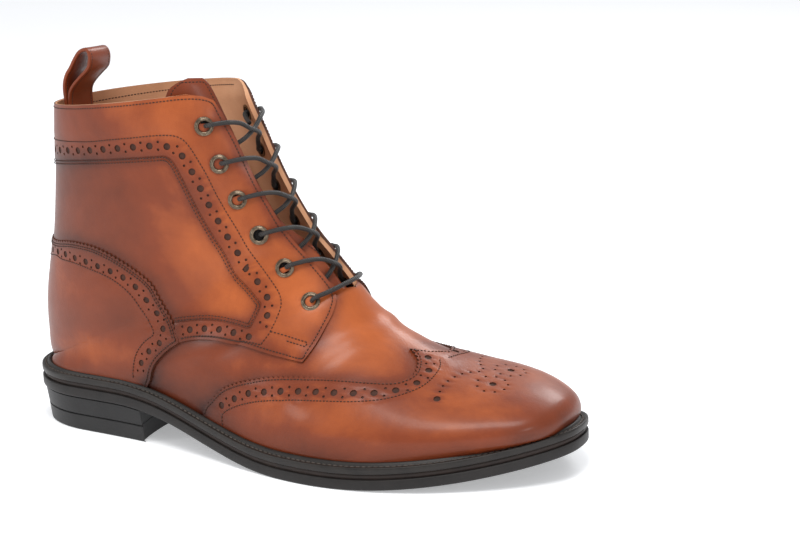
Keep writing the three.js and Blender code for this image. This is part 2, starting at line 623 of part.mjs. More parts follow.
const EYELET_BARREL = EYELET_HOLE / 2 + EYELET_WALL;
const EYELET_SEAT = FACING_SURFACE + GAP / 2;
const HOLE_SIDES = 6;
function eyeletFrame(t, u) {
  const frame = new THREE.Matrix4();
  const normal = outward(t, u);
  const along = surface(t + 0.1, u).sub(surface(t - 0.1, u));
  const sideways = along.cross(normal).normalize();
  const forward = sideways.clone().cross(normal);
  frame.makeBasis(sideways, normal, forward);
  frame.setPosition(lifted(t, u, EYELET_SEAT));
  return frame;
}
function eyeletHole(t, u) {
  const radius = (EYELET_BARREL + GAP) / Math.cos(Math.PI / HOLE_SIDES);
  const hole = new THREE.CylinderGeometry(radius, radius, 4 * UPPER_WALL, HOLE_SIDES);
  hole.applyMatrix4(eyeletFrame(t, u));
  return toSolid(hole);
}
const eyeletPlaces = EYELETS.flatMap(([t, v]) => [[t, -v], [t, v]]);
const holes = eyeletPlaces.map(([t, u]) => eyeletHole(t, u)).reduce((sum, hole) => sum.add(hole));

const upper = outerForm.subtract(innerForm).subtract(throat).subtract(holes);
const overlayShell = overlayOutside.subtract(overlayInside).subtract(throat).subtract(holes);

const bothSides = (table) => sideCutter(table, -1).add(sideCutter(table, 1));
const toeBlock = new THREE.BoxGeometry(OUTSOLE_LENGTH, 2 * BALL_WIDTH, 2 * INSTEP_HEIGHT);
toeBlock.translate(OUTSOLE_LENGTH * (WING_WHOLE + 0.5), 0, 0);
const toeCap = overlayShell.intersect(bothSides(WING).add(bothSides(WING_PEAK)).add(toSolid(toeBlock)));
const counterCut = bothSides(COUNTER);
const counter = overlayShell.intersect(counterCut).subtract(outerForm);
const clearOfCounter = counterCut.translate([GAP, 0, GAP]);
const facingOf = (side) => {
  const half = new THREE.BoxGeometry(2 * OUTSOLE_LENGTH, BALL_WIDTH, 3 * COLLAR_FRONT);
  half.translate(OUTSOLE_LENGTH / 2, side * (GAP + BALL_WIDTH) / 2, COLLAR_FRONT);
  const cut = sideCutter(FACING, side).add(sideCutter(STRIP, side)).intersect(toSolid(half));
  return overlayShell.intersect(cut).subtract(clearOfCounter);
};

// Tongue: a thin sheet under the throat, deeper where the laces pass over it
const tongueDepth = (share) => -(UPPER_WALL + 3 * GAP + LACE_ROOM * share);
function tongueSolid() {
  const columns = 7;
  const rings = TONGUE.map(([t, from, to, share]) => {
    const outer = [];
    const inner = [];
    for (let j = 0; j <= columns; j += 1) {
      const u = mix(from, to, j / columns);
      outer.push(lifted(t, u, tongueDepth(share)));
      inner.push(lifted(t, u, tongueDepth(share) - TONGUE_THICKNESS));
    }
    return [...outer, ...inner.reverse()];
  });
  return outwardSolid(skin(rings));
}

// Pull loop: a strap folded into a standing loop, both ends sewn inside the collar.
// Its medial edge lies a little further back and lower than its lateral one.
const LOOP_STEPS = 30;
function pullLoop() {
  const base = surface(LAST_SECTION, 1);
  const apart = (LOOP_THICKNESS + GAP) / 2;
  const z = base.z;
  const seam = lifted(LAST_SECTION, AROUND[0], -UPPER_WALL);
  const beside = lifted(LAST_SECTION, AROUND[1], -UPPER_WALL);
  const x = mix(seam.x, beside.x, LOOP_WIDTH / 2 / Math.abs(beside.y)) + 2 * GAP + LOOP_THICKNESS / 2;
  const centre = new THREE.SplineCurve([
    [x, z - LOOP_TAIL], [x, z - LOOP_TAIL / 2],
    ...LOOP_PATH.map(([lean, rise]) => [x + LOOP_LEAN * lean, z + LOOP_RISE * rise]),
    [x + 2 * apart, z + LOOP_THICKNESS / 2], [x + 2 * apart, z - LOOP_TAIL / 2], [x + 2 * apart, z - LOOP_TAIL],
  ].map(([px, pz]) => new THREE.Vector2(px, pz))).getPoints(LOOP_STEPS);
  const offset = (side) => centre.map((point, i) => {
    const before = centre[Math.max(i - 1, 0)];
    const after = centre[Math.min(i + 1, centre.length - 1)];
    const direction = after.clone().sub(before).normalize();
    return new THREE.Vector2(-direction.y, direction.x).multiplyScalar(side * LOOP_THICKNESS / 2).add(point);
  });
  const shape = new THREE.Shape([...offset(1), ...offset(-1).reverse()]);
  const strap = new THREE.ExtrudeGeometry(shape, { depth: LOOP_WIDTH, bevelEnabled: false, steps: 1 });
  strap.rotateX(Math.PI / 2);
  strap.translate(0, LOOP_WIDTH / 2, 0);
  const points = strap.attributes.position;
  for (let i = 0; i < points.count; i += 1) {
    const medial = points.getY(i) / LOOP_WIDTH + 0.5;
    const height = clamp((points.getZ(i) - z) / LOOP_RISE, 0, 1);
    points.setX(i, points.getX(i) - LOOP_TWIST * medial * height);
    points.setZ(i, points.getZ(i) - LOOP_DROP * medial * height);
  }
  return outwardSolid(mergeVertices(strap));
}

// Eyelet: a turned ring with a rolled flange, a barrel through the leather and an inner lip
const EYELET_SIDES = 8;
function eyelet() {
  const inner = EYELET_HOLE / 2;
  const depth = -(EYELET_SEAT + UPPER_WALL);
  const profile = [
    [inner, depth], [inner, EYELET_DOME * 0.6 + GAP], [(inner + EYELET_FLANGE / 2) / 2, EYELET_DOME + GAP],
    [EYELET_FLANGE / 2, GAP], [EYELET_BARREL, GAP], [EYELET_BARREL, depth], [inner, depth],
  ];
  return new THREE.LatheGeometry(profile.map(([x, y]) => new THREE.Vector2(x, y)), EYELET_SIDES);
}

// Laces: each crossing comes from under one facing, up through the gap and over the edge of the other
const LACE_SIDES = 6;
const LACE_STEP = 3 * LACE_DIAMETER;
const LACE_OVER = EYELET_SEAT + EYELET_DOME + 2 * GAP + LACE_DIAMETER / 2;
const LACE_EDGE = FACING_SURFACE + 2 * GAP + LACE_DIAMETER / 2;
const LACE_UNDER = -(UPPER_WALL + LACE_CLEARANCE + LACE_DIAMETER / 2);
function laceTube(points) {
  const curve = new THREE.CatmullRomCurve3(points, false, 'centripetal');
  const shape = new THREE.Shape();
  for (let i = 0; i < LACE_SIDES; i += 1) {
    const angle = 2 * Math.PI * i / LACE_SIDES;
    const [x, y] = [Math.cos(angle) * LACE_DIAMETER / 2, Math.sin(angle) * LACE_DIAMETER / 2];
    if (i === 0) shape.moveTo(x, y);
    else shape.lineTo(x, y);
  }
  shape.closePath();
  const steps = Math.round(curve.getLength() / LACE_STEP);
  return outwardSolid(mergeVertices(new THREE.ExtrudeGeometry(shape, { extrudePath: curve, steps, bevelEnabled: false })));
}
function strand(over, under, side) {
  const edge = 0.08;
  const [t, v] = over;
  const [tUnder, vUnder] = under;
  const drop = (share) => mix(t, tUnder, share);
  return laceTube([
    lifted(t, side * v, LACE_OVER + GAP),
    lifted(drop(0.04), side * mix(v, edge, 0.55), LACE_EDGE + 0.5),
    lifted(drop(0.10), side * edge, LACE_EDGE),
    lifted(drop(0.24), side * edge * 0.3, -0.6),
    lifted(drop(0.44), -side * edge * 0.3, LACE_UNDER * 0.75),
    lifted(drop(0.62), -side * edge, LACE_UNDER),
    lifted(drop(0.84), -side * mix(edge, vUnder, 0.6), LACE_UNDER - 0.2),
  ]);
}
function crossing(k) {
  return strand(EYELETS[k], EYELETS[k + 1], -1).add(strand(EYELETS[k], EYELETS[k + 1], 1));
}
function lowBar() {
  const [t, v] = EYELETS[EYELETS.length - 1];
  return laceTube([
    lifted(t, -v, LACE_OVER + GAP), lifted(t, -v * 0.6, LACE_EDGE + 0.4), lifted(t, -v * 0.2, LACE_EDGE),
    lifted(t, v * 0.2, LACE_EDGE), lifted(t, v * 0.6, LACE_EDGE + 0.4), lifted(t, v, LACE_OVER + GAP),
  ]);
}

addPart('outsole', toGeometry(outsole), RUBBER);
addPart('midsole', toGeometry(midsole), MIDSOLE_RUBBER);
addPart('welt', toGeometry(welt), WELT_RUBBER);
addPart('heel_block', toGeometry(heelBlock), RUBBER);
addPart('heel_top_lift', toGeometry(topLift), RUBBER);
addPart('insole', toGeometry(insole), LINING);
addPart('upper', toGeometry(upper), LEATHER);
addPart('toe_cap', toGeometry(toeCap), LEATHER);
addPart('heel_counter', toGeometry(counter), LEATHER);
addPart('facing_lateral', toGeometry(facingOf(-1)), LEATHER);
addPart('facing_medial', toGeometry(facingOf(1)), LEATHER);
addPart('tongue', toGeometry(tongueSolid()), LEATHER);
addPart('pull_loop', toGeometry(pullLoop()), LEATHER);
EYELETS.forEach(([t, v], i) => {
  [['lateral', -1], ['medial', 1]].forEach(([name, side]) => {
    const ring = eyelet();
    ring.applyMatrix4(eyeletFrame(t, side * v));
    addPart(`eyelet_${name}_${i + 1}`, toGeometry(outwardSolid(ring)), BRASS);
  });
});
for (let k = 0; k < EYELETS.length - 1; k += 1) addPart(`lace_crossing_${k + 1}`, toGeometry(crossing(k)), LACE);
addPart('lace_bar', toGeometry(lowBar()), LACE);

export default boot;
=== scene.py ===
"""Looks of the brogue boot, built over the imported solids. All sizes below are in millimetres."""

import math

import bpy
import numpy as np
from mathutils import Matrix, Vector
from mathutils.geometry import delaunay_2d_cdt
from mathutils.kdtree import KDTree


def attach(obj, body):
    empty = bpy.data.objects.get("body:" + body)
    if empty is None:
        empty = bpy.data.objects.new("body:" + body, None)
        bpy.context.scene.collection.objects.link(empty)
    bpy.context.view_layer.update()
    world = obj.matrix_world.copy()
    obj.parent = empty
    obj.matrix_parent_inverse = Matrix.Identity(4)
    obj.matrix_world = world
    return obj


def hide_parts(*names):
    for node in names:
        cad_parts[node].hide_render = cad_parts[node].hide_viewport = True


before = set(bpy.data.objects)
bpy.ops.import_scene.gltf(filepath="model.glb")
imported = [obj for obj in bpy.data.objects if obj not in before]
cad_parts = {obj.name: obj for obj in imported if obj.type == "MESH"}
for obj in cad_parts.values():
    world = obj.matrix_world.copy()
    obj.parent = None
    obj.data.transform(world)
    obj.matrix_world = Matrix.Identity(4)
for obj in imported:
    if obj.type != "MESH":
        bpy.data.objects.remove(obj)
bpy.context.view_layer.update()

MM = 0.001
BODY = "root"

# Camera, as found from the photo's outlines, from the origin at the heel
CAMERA_PLACE = (686.5, -869.8, 363.7)
CAMERA_AZIMUTH = -30.47
CAMERA_ELEVATION = -14.84
CAMERA_ROLL = -2.40
CAMERA_LENS = 98.23
SENSOR = 36.0

# Sizes shared with the solids
OUTSOLE_LENGTH = 304.0
BALL_WIDTH = 108.0
SEAT_HEIGHT = 30.0
OUTSOLE_THICKNESS = 5.3
MIDSOLE_THICKNESS = 2.1
MIDSOLE_RECESS = 1.6
WELT_THICKNESS = 3.5
TOE_SPRING = 14.0
TOE_SWING = 9.0
HEEL_LENGTH = 80.0
TOP_LIFT = 8.5
HEEL_TAPER = 1.6
BREAST_DEPTH = 5.0
WELT_WIDTH_FORE = 7.0
WELT_WIDTH_HEEL = 5.0
INSTEP_HEIGHT = 83.0
COLLAR_BACK = 167.0
COLLAR_FRONT = 179.6
COLLAR_WIDTH = 67.8
WALL = 2.2
OVERLAY = 1.2
GAP = 0.3
EYELET_HOLE = 5.2
EYELET_FLANGE = 9.4
LACE_DIAMETER = 2.3
LOOP_WIDTH = 19.0
LOOP_THICKNESS = 1.8
LOOP_RISE = 28.5
LOOP_LEAN = 17.0
LOOP_TAIL = 12.0
LOOP_TWIST = 2.0
LOOP_DROP = 1.5
SOLE_THICKNESS = OUTSOLE_THICKNESS + MIDSOLE_THICKNESS + WELT_THICKNESS + 2 * GAP
HEEL_RISE = SEAT_HEIGHT - SOLE_THICKNESS
FACING_TOP = GAP + OVERLAY
QUARTER_TOP = 0.5
COUNTER_TOP_HEIGHT = 1.75
COLLAR_THINNING = 1.2
ORIGIN_X = HEEL_LENGTH / 2

# Sole outline: share of the length, lateral and medial half widths as shares of the ball width
OUTLINE = np.array([
    [0.00, 0.306, 0.324], [0.12, 0.324, 0.329], [0.22, 0.338, 0.315], [0.32, 0.366, 0.292],
    [0.42, 0.417, 0.296], [0.52, 0.472, 0.356], [0.62, 0.509, 0.440], [0.70, 0.500, 0.491],
    [0.78, 0.458, 0.514], [0.88, 0.394, 0.500], [1.00, 0.306, 0.450]])
HEEL_CAP, HEEL_CAP_POWER = 0.125, 2.2
TOE_CAP, TOE_CAP_POWER = 0.27, 2.25
ARCH_START, ARCH_END, SPRING_START, SPRING_POWER = 0.21, 0.57, 0.66, 1.9

# Sections of the upper from the toe to the collar, columns as in the solids
COLUMNS = ("back", "rise", "front", "instep", "shaft", "leg", "lateral", "medial", "widest",
           "lateral_power", "medial_power", "low_power", "shift", "lift")
SECTIONS = np.array([
    [0.977, 0, 0.977, 0.000, 0, 0, 0.010, 0.010, 0.50, 2.00, 2.00, 2.00, 0.083, 0.00],
    [0.965, 0, 0.980, 0.125, 0, 0, 0.138, 0.155, 0.34, 2.20, 1.75, 2.00, 0.083, 0.02],
    [0.934, 0, 0.964, 0.252, 0, 0, 0.232, 0.262, 0.33, 2.20, 1.75, 2.00, 0.083, 0.04],
    [0.882, 0, 0.918, 0.345, 0, 0, 0.305, 0.365, 0.33, 2.20, 1.85, 2.00, 0.079, 0.08],
    [0.816, 0, 0.862, 0.410, 0, 0, 0.370, 0.424, 0.33, 2.10, 2.05, 2.00, 0.074, 0.08],
    [0.737, 0, 0.799, 0.482, 0, 0, 0.421, 0.430, 0.32, 2.00, 2.00, 2.00, 0.069, 0.08],
    [0.651, 0, 0.740, 0.572, 0, 0, 0.449, 0.410, 0.31, 1.95, 1.80, 2.00, 0.065, 0.08],
    [0.566, 0, 0.691, 0.668, 0, 0, 0.440, 0.389, 0.31, 1.90, 1.90, 2.00, 0.060, 0.07],
    [0.477, 0, 0.655, 0.763, 0, 0, 0.403, 0.361, 0.33, 1.85, 2.10, 2.00, 0.056, 0.06],
    [0.382, 0, 0.630, 0.870, 0, 0.5, 0.444, 0.410, 0.36, 1.80, 2.00, 2.00, 0.046, 0.05],
    [0.276, 0, 0.610, 1.000, 0.000, 1, 0.524, 0.502, 0.38, 1.80, 1.95, 2.10, 0.042, 0.04],
    [0.171, 0, 0.592, 1.000, 0.083, 1, 0.487, 0.487, 0.40, 1.80, 1.90, 2.10, 0.037, 0.03],
    [0.079, 0, 0.574, 1.000, 0.166, 1, 0.472, 0.472, 0.42, 1.80, 1.90, 2.10, 0.032, 0.02],
    [0.020, 0.000, 0.554, 1.000, 0.248, 1, 0.472, 0.472, 0.42, 1.80, 1.90, 2.10, 0.028, 0.01],
    [0.013, 0.122, 0.533, 1.000, 0.342, 1, 0.479, 0.479, 0.42, 1.85, 1.90, 2.10, 0.023, 0.00],
    [0.015, 0.254, 0.512, 1.000, 0.440, 1, 0.472, 0.472, 0.44, 1.90, 1.90, 2.10, 0.019, 0.00],
    [0.026, 0.393, 0.490, 1.000, 0.544, 1, 0.472, 0.472, 0.46, 1.90, 1.95, 2.05, 0.014, 0.00],
    [0.039, 0.532, 0.470, 1.000, 0.652, 1, 0.472, 0.472, 0.48, 2.00, 2.00, 2.05, 0.009, 0.00],
    [0.049, 0.678, 0.451, 1.000, 0.766, 1, 0.479, 0.479, 0.50, 2.00, 2.00, 2.05, 0.009, 0.00],
    [0.058, 0.835, 0.431, 1.000, 0.880, 1, 0.487, 0.487, 0.50, 2.00, 2.00, 2.05, 0.009, 0.00],
    [0.065, 1.000, 0.4125, 1.000, 1.000, 1, 0.499, 0.501, 0.50, 2.05, 2.05, 2.05, 0.009, 0.00]])
LAST = len(SECTIONS) - 1
HEEL_SECTION = 13

# Pattern lines on the upper as section and place across it, 0 at the ridge and 1 at the sole or back seam
COLLAR_LINE = [(20, 1), (20, 0.7), (20, 0.45), (20, 0.28), (19.97, 0.21), (19.86, 0.155), (19.6, 0.115)]
THROAT_LINE = [(19.1, 0.105), (18.2, 0.094), (17.2, 0.086), (15.75, 0.080), (14.0, 0.073), (12.2, 0.067),
               (10.9, 0.072), (10.35, 0.078), (9.75, 0.105), (9.32, 0.158), (9.0, 0.226), (8.72, 0.302),
               (8.53, 0.373), (8.41, 0.436)]
FACING_BOTTOM = [(8.95, 0.464), (9.46, 0.49), (9.93, 0.51), (10.36, 0.528), (10.69, 0.556), (10.89, 0.589),
                 (10.97, 0.62)]
COUNTER_FRONT = [(10.97, 0.622), (10.9, 0.668), (10.77, 0.727), (10.62, 0.785), (10.43, 0.847),
                 (10.18, 0.922), (10.0, 1.0)]
COUNTER_TOP = [(16.75, 1.0), (16.6, 0.92), (16.45, 0.85), (16.28, 0.745), (15.95, 0.65), (15.55, 0.585),
               (15.13, 0.537), (14.65, 0.495), (14.19, 0.464), (13.79, 0.448), (13.34, 0.443), (12.7, 0.476),
               (12.05, 0.514), (11.55, 0.553), (11.2, 0.59)]
WINDOW_LINE = [(11.86, 0.525), (11.62, 0.486), (11.35, 0.454), (10.98, 0.433), (10.6, 0.420), (10.33, 0.404),
               (10.67, 0.336), (11.03, 0.288), (11.36, 0.274), (12.0, 0.256), (12.95, 0.236), (13.9, 0.231),
               (14.8, 0.243), (15.67, 0.256), (16.41, 0.267), (17.23, 0.282), (17.8, 0.297), (18.08, 0.318),
               (18.18, 0.36), (18.28, 0.42), (18.42, 0.52), (18.57, 0.66), (18.66, 0.81), (18.7, 1.0)]
BAND_OUTER = [(19.2, 1.0), (19.14, 0.81), (19.08, 0.70), (19.01, 0.60), (18.97, 0.51), (18.91, 0.43),
              (18.84, 0.35), (18.74, 0.293), (18.58, 0.26), (18.29, 0.24), (17.75, 0.224), (17.04, 0.208),
              (16.25, 0.198), (15.45, 0.188), (14.54, 0.178), (13.65, 0.172), (12.67, 0.178), (11.82, 0.195),
              (11.12, 0.217), (10.62, 0.252), (10.21, 0.31), (9.8, 0.384), (9.57, 0.46)]
STRIP_CENTRE = [(9.9, 0.446), (10.15, 0.45), (10.55, 0.462), (10.92, 0.483), (11.2, 0.513), (11.42, 0.552)]
COUNTER_CENTRE = [(16.3, 1.0), (16.18, 0.88), (15.97, 0.79), (15.71, 0.723), (15.42, 0.661), (15.08, 0.605),
                  (14.71, 0.556), (14.27, 0.515), (13.74, 0.488), (13.15, 0.478), (12.55, 0.515),
                  (12.0, 0.556), (11.55, 0.60), (11.3, 0.65), (11.15, 0.72), (10.95, 0.785), (10.7, 0.845),
                  (10.4, 0.91)]
COUNTER_STITCH = [(16.1, 1.0), (16.0, 0.85), (15.82, 0.80), (15.56, 0.725), (15.19, 0.654), (14.78, 0.594),
                  (14.31, 0.549), (13.8, 0.52), (13.24, 0.507), (12.45, 0.56), (11.78, 0.612), (11.62, 0.667),
                  (11.4, 0.727), (11.11, 0.794), (10.76, 0.869), (10.44, 0.945)]
WING_EDGE = [(8.85, 1.0), (9.0, 0.93), (9.05, 0.87), (9.12, 0.78), (9.06, 0.705), (8.9, 0.64),
             (8.65, 0.575), (8.22, 0.515), (7.74, 0.47), (7.17, 0.433), (6.6, 0.404), (6.16, 0.372),
             (5.92, 0.335), (5.8, 0.265), (5.88, 0.19), (6.06, 0.124), (6.3, 0.088)]
WING_PEAK = [(6.44, -0.074)]
WING_FAR = [(6.39, -0.055), (6.25, -0.029), (6.03, 0.013), (5.86, 0.073), (5.7, 0.13), (5.74, 0.20),
            (5.8, 0.265), (5.92, 0.335), (6.16, 0.372), (6.6, 0.404), (7.17, 0.433), (7.74, 0.47),
            (8.22, 0.515), (8.65, 0.575),
            (8.9, 0.64), (9.06, 0.705), (9.12, 0.78), (9.05, 0.87), (9.0, 0.93), (8.85, 1.0)]
WING_CENTRE = [(8.8, 0.9), (8.75, 0.811), (8.63, 0.72), (8.33, 0.656), (8.0, 0.607), (7.59, 0.568),
               (7.09, 0.536), (6.63, 0.51), (6.19, 0.476), (5.8, 0.422), (5.54, 0.335), (5.52, 0.215),
               (5.7, 0.11), (6.0, 0.046)]
WING_STITCH = [(8.4, 0.985), (8.6, 0.92), (8.6, 0.86), (8.48, 0.788), (8.24, 0.718), (7.76, 0.648),
               (7.11, 0.598), (6.46, 0.562), (5.89, 0.505), (5.54, 0.425), (5.35, 0.333), (5.33, 0.216),
               (5.43, 0.103), (5.6, 0.035)]
SEAM_ABOVE_CORNER = [(9.83, 0.382), (9.62, 0.372), (9.39, 0.360)]
BAR_TACK = [(9.39, 0.360), (9.1, 0.347), (8.86, 0.338)]
EYELETS = [(18.75, 0.172), (17.25, 0.162), (15.7, 0.147), (14.05, 0.133), (12.2, 0.136), (10.25, 0.172)]

# Sewing and punching
STITCH_PITCH = 1.75
STITCH_LENGTH = 1.25
STITCH_THICKNESS = 0.5
STITCH_INSET = 1.7
ROW_SPACING = 1.5
HOLE_PITCH = 9.0
HOLE_RADIUS = 1.75
PIN_RADIUS = 0.68
PIN_SPREAD = 1.9
GIMP_PITCH = 2.7
GIMP_HEIGHT = 1.15
HOLE_DEPTH = 0.75
MESH_STEP = 2.0
BEND_STEP = 1.2
COUNTER_SIDE = 1
WING_SIDE = -1


def smoothstep(low, high, x):
    s = np.clip((np.asarray(x, dtype=float) - low) / (high - low), 0, 1)
    return s * s * (3 - 2 * s)


def table_value(table, column, place):
    """Cubic through a table's rows, as in the solids."""
    k, v = table[:, 0], table[:, column]
    x = np.clip(place, k[0], k[-1])
    i = np.clip(np.searchsorted(k, x, side="right") - 1, 0, len(k) - 2)
    slope = np.empty(len(k))
    slope[1:-1] = (v[2:] - v[:-2]) / (k[2:] - k[:-2])
    slope[0] = (v[1] - v[0]) / (k[1] - k[0])
    slope[-1] = (v[-1] - v[-2]) / (k[-1] - k[-2])
    step = k[i + 1] - k[i]
    s = (x - k[i]) / step
    ends = (2 * s**3 - 3 * s**2 + 1) * v[i] + (3 * s**2 - 2 * s**3) * v[i + 1]
    return ends + step * ((s**3 - 2 * s**2 + s) * slope[i] + (s**3 - s**2) * slope[i + 1])


def end_cap(share):
    heel = np.clip(1 - share / HEEL_CAP, 0, 1)
    toe = np.clip(1 - (1 - share) / TOE_CAP, 0, 1)
    heel_part = (1 - heel**HEEL_CAP_POWER) ** (1 / HEEL_CAP_POWER)
    return heel_part * (1 - toe**TOE_CAP_POWER) ** (1 / TOE_CAP_POWER)


def half_width(share, side):
    return table_value(OUTLINE, 1 if side < 0 else 2, share) * BALL_WIDTH


def centre_line(x):
    return TOE_SWING * np.clip((x / OUTSOLE_LENGTH - 0.55) / 0.45, 0, 1) ** 2


def underside(x):
    share = np.clip(x / OUTSOLE_LENGTH, 0, 1)
    arch = np.clip((share - ARCH_START) / (ARCH_END - ARCH_START), 0, 1)
    spring = np.clip((share - SPRING_START) / (1 - SPRING_START), 0, 1)
    return HEEL_RISE * (1 + np.cos(np.pi * arch)) / 2 + TOE_SPRING * spring**SPRING_POWER


def welt_width(x):
    share = np.clip((np.asarray(x) / OUTSOLE_LENGTH - 0.25) / 0.3, 0, 1)
    return WELT_WIDTH_HEEL + (WELT_WIDTH_FORE - WELT_WIDTH_HEEL) * share


FEATHER_HEEL = SECTIONS[HEEL_SECTION][0] * OUTSOLE_LENGTH
FEATHER_TOE = SECTIONS[0][0] * OUTSOLE_LENGTH


def feather_half(x, side):
    share = np.clip((x - FEATHER_HEEL) / (FEATHER_TOE - FEATHER_HEEL), 0, 1)
    return (half_width(np.clip(x / OUTSOLE_LENGTH, 0, 1), side) - welt_width(x)) * end_cap(share)


def section_value(t, name):
    column = SECTIONS[:, COLUMNS.index(name)]

    def row(i):
        if i < 0:
            return 2 * column[0] - column[1]
        if i > LAST:
            return 2 * column[LAST] - column[LAST - 1]
        return column[i]

    i = int(np.clip(math.floor(t), 0, LAST - 1))
    s = t - i
    a, b, c, d = row(i - 1), row(i), row(i + 1), row(i + 2)
    return 0.5 * (2 * b + (c - a) * s + (2 * a - 5 * b + 4 * c - d) * s**2 + (3 * b - a - 3 * c + d) * s**3)


def half_section(t, side, places):
    """Points of half a section at places 0 (ridge) to 1 (sole or back seam)."""
    back_x = section_value(t, "back") * OUTSOLE_LENGTH
    front_x = section_value(t, "front") * OUTSOLE_LENGTH
    back_z = float(underside(back_x)) + SOLE_THICKNESS
    base_z = back_z
    if t > HEEL_SECTION:
        back_z += section_value(t, "rise") * (COLLAR_BACK - back_z)
    if t <= 10:
        front_z = base_z + section_value(t, "instep") * (INSTEP_HEIGHT - base_z)
    else:
        front_z = INSTEP_HEIGHT + section_value(t, "shaft") * (COLLAR_FRONT - INSTEP_HEIGHT)
    leg = np.clip(section_value(t, "leg"), 0, 1)
    reference = BALL_WIDTH + (COLLAR_WIDTH - BALL_WIDTH) * leg
    widest = section_value(t, "lateral" if side < 0 else "medial") * reference
    top_power = section_value(t, "lateral_power" if side < 0 else "medial_power")
    low_power = section_value(t, "low_power")
    waist = section_value(t, "widest")
    feather = min(float(feather_half(back_x, side)), widest * 0.999) if t < HEEL_SECTION else 0.0
    start = math.asin((feather / widest) ** (low_power / 2))
    low = np.linspace(start, np.pi / 2, 61)
    fall = (np.maximum(np.cos(low), 0) / math.cos(start)) ** (2 / low_power)
    high = np.linspace(np.pi / 2, np.pi, 61)[1:]
    climb = np.maximum(-np.cos(high), 0) ** (2 / top_power)
    height = np.concatenate([waist * (1 - fall), waist + (1 - waist) * climb])
    across = np.concatenate([widest * np.sin(low) ** (2 / low_power),
                             widest * np.maximum(np.sin(high), 0) ** (2 / top_power)])
    reach = math.hypot(front_x - back_x, front_z - back_z)
    girth = np.concatenate([[0], np.cumsum(np.hypot(np.diff(height) * reach, np.diff(across)))])
    share = 1 - np.asarray(places)
    h = np.interp(share, girth / girth[-1], height)
    y = side * np.interp(share, girth / girth[-1], across)
    low_y = float(centre_line(back_x)) if t < HEEL_SECTION else 0.0
    shift = section_value(t, "shift") * BALL_WIDTH
    lift = section_value(t, "lift")
    return np.stack([back_x + (front_x - back_x) * h - ORIGIN_X,
                     low_y + (shift - low_y) * h + y,
                     back_z + (front_z - back_z) * h + lift * y * h], -1)


# The outside of the upper on a fine grid, which everything on it is placed by
GRID_T = 0.025
GRID_U = 1 / 120
T_MAX = LAST + 1
GRID_PLACES = np.linspace(0, 1, 121)


def surface_grid():
    rows = []
    for t in np.arange(0, LAST + GRID_T / 2, GRID_T):
        t = min(t, LAST)
        lateral = half_section(t, -1, GRID_PLACES)[::-1]
        medial = half_section(t, 1, GRID_PLACES)[1:]
        rows.append(np.vstack([lateral, medial]))
    rows = np.array(rows)
    edge = rows[-1]
    one = int(round(1 / GRID_T))
    run = edge - rows[-1 - one]
    beyond = [edge + run * k * GRID_T for k in range(1, one + 1)]
    return np.concatenate([rows, np.array(beyond)])


GRID = surface_grid()


def look_up(grid, t, u):
    """Smooth reading of a grid at any section and place."""
    a = np.clip(np.asarray(t, dtype=float) / GRID_T, 0, grid.shape[0] - 1.001)
    b = np.clip((np.asarray(u, dtype=float) + 1) / GRID_U, 0, grid.shape[1] - 1.001)
    i, j = a.astype(int), b.astype(int)
    p, q = (a - i)[..., None], (b - j)[..., None]
    near = grid[i, j] * (1 - q) + grid[i, j + 1] * q
    far = grid[i + 1, j] * (1 - q) + grid[i + 1, j + 1] * q
    return near * (1 - p) + far * p


def grid_normals(grid):
    along = np.gradient(grid, axis=0)
    across = np.gradient(grid, axis=1)
    normal = np.cross(across, along)
    length = np.linalg.norm(normal, axis=-1, keepdims=True)
    normal = normal / np.maximum(length, 1e-9)
    normal[0] = normal[1]
    return normal


NORMALS = grid_normals(GRID)

# Soft folds: section, place, half length across and half width along, depth and side
FOLDS = [
    (8.35, 0.16, 0.20, 0.45, -0.55), (7.45, 0.20, 0.24, 0.42, -0.45), (7.9, 0.18, 0.22, 0.35, 0.40),
    (12.7, 0.62, 0.22, 0.75, -0.9), (13.9, 0.55, 0.20, 0.65, 0.55), (11.2, 0.36, 0.16, 0.5, -0.5),
    (15.6, 0.72, 0.25, 0.9, -0.5), (16.9, 0.5, 0.22, 0.8, 0.45),
]


def relief(t, u):
    """Creases and soft waves of the leather, in millimetres along the normal."""
    total = np.zeros(np.shape(t))
    for fold_t, place, half_across, half_along, depth in FOLDS:
        along = (t - fold_t - 1.2 * (np.abs(u) - place)) / half_along
        across = (np.abs(u) - place) / half_across
        total = total + depth * np.exp(-along**2) * np.exp(-across**2)
    return total


def settle(t, u, height):
    """The layers lie flatter towards the collar and the back seam."""
    collar = 1 - 0.4 * smoothstep(19.2, 20, t)
    back = 1 - 0.35 * smoothstep(0.55, 0.95, np.abs(u)) * smoothstep(12, 15, t)
    return np.where(np.asarray(height) > 0, collar * back, 1.0)


def lining_height(t):
    """The wall gets thinner towards the collar's edge."""
    return -WALL + COLLAR_THINNING * smoothstep(19.3, 20, t)


def on(t, u, height=0.0):
    """Points over the upper, height millimetres outside it."""
    t, u = np.asarray(t, dtype=float), np.asarray(u, dtype=float)
    normal = look_up(NORMALS, t, u)
    normal = normal / np.linalg.norm(normal, axis=-1, keepdims=True)
    rise = np.asarray(height) * settle(t, u, height) + relief(t, u)
    return look_up(GRID, t, u) + normal * rise[..., None]


def tangents(t, u):
    """Change of place per unit of section and per unit across."""
    dt, du = 0.05, 0.01
    t, u = np.asarray(t, dtype=float), np.asarray(u, dtype=float)
    t0, t1 = np.clip(t - dt, 0, T_MAX), np.clip(t + dt, 0, T_MAX)
    u0, u1 = np.clip(u - du, -1, 1), np.clip(u + du, -1, 1)
    along = (look_up(GRID, t1, u) - look_up(GRID, t0, u)) / (t1 - t0)[..., None]
    across = (look_up(GRID, t, u1) - look_up(GRID, t, u0)) / (u1 - u0)[..., None]
    return along, across


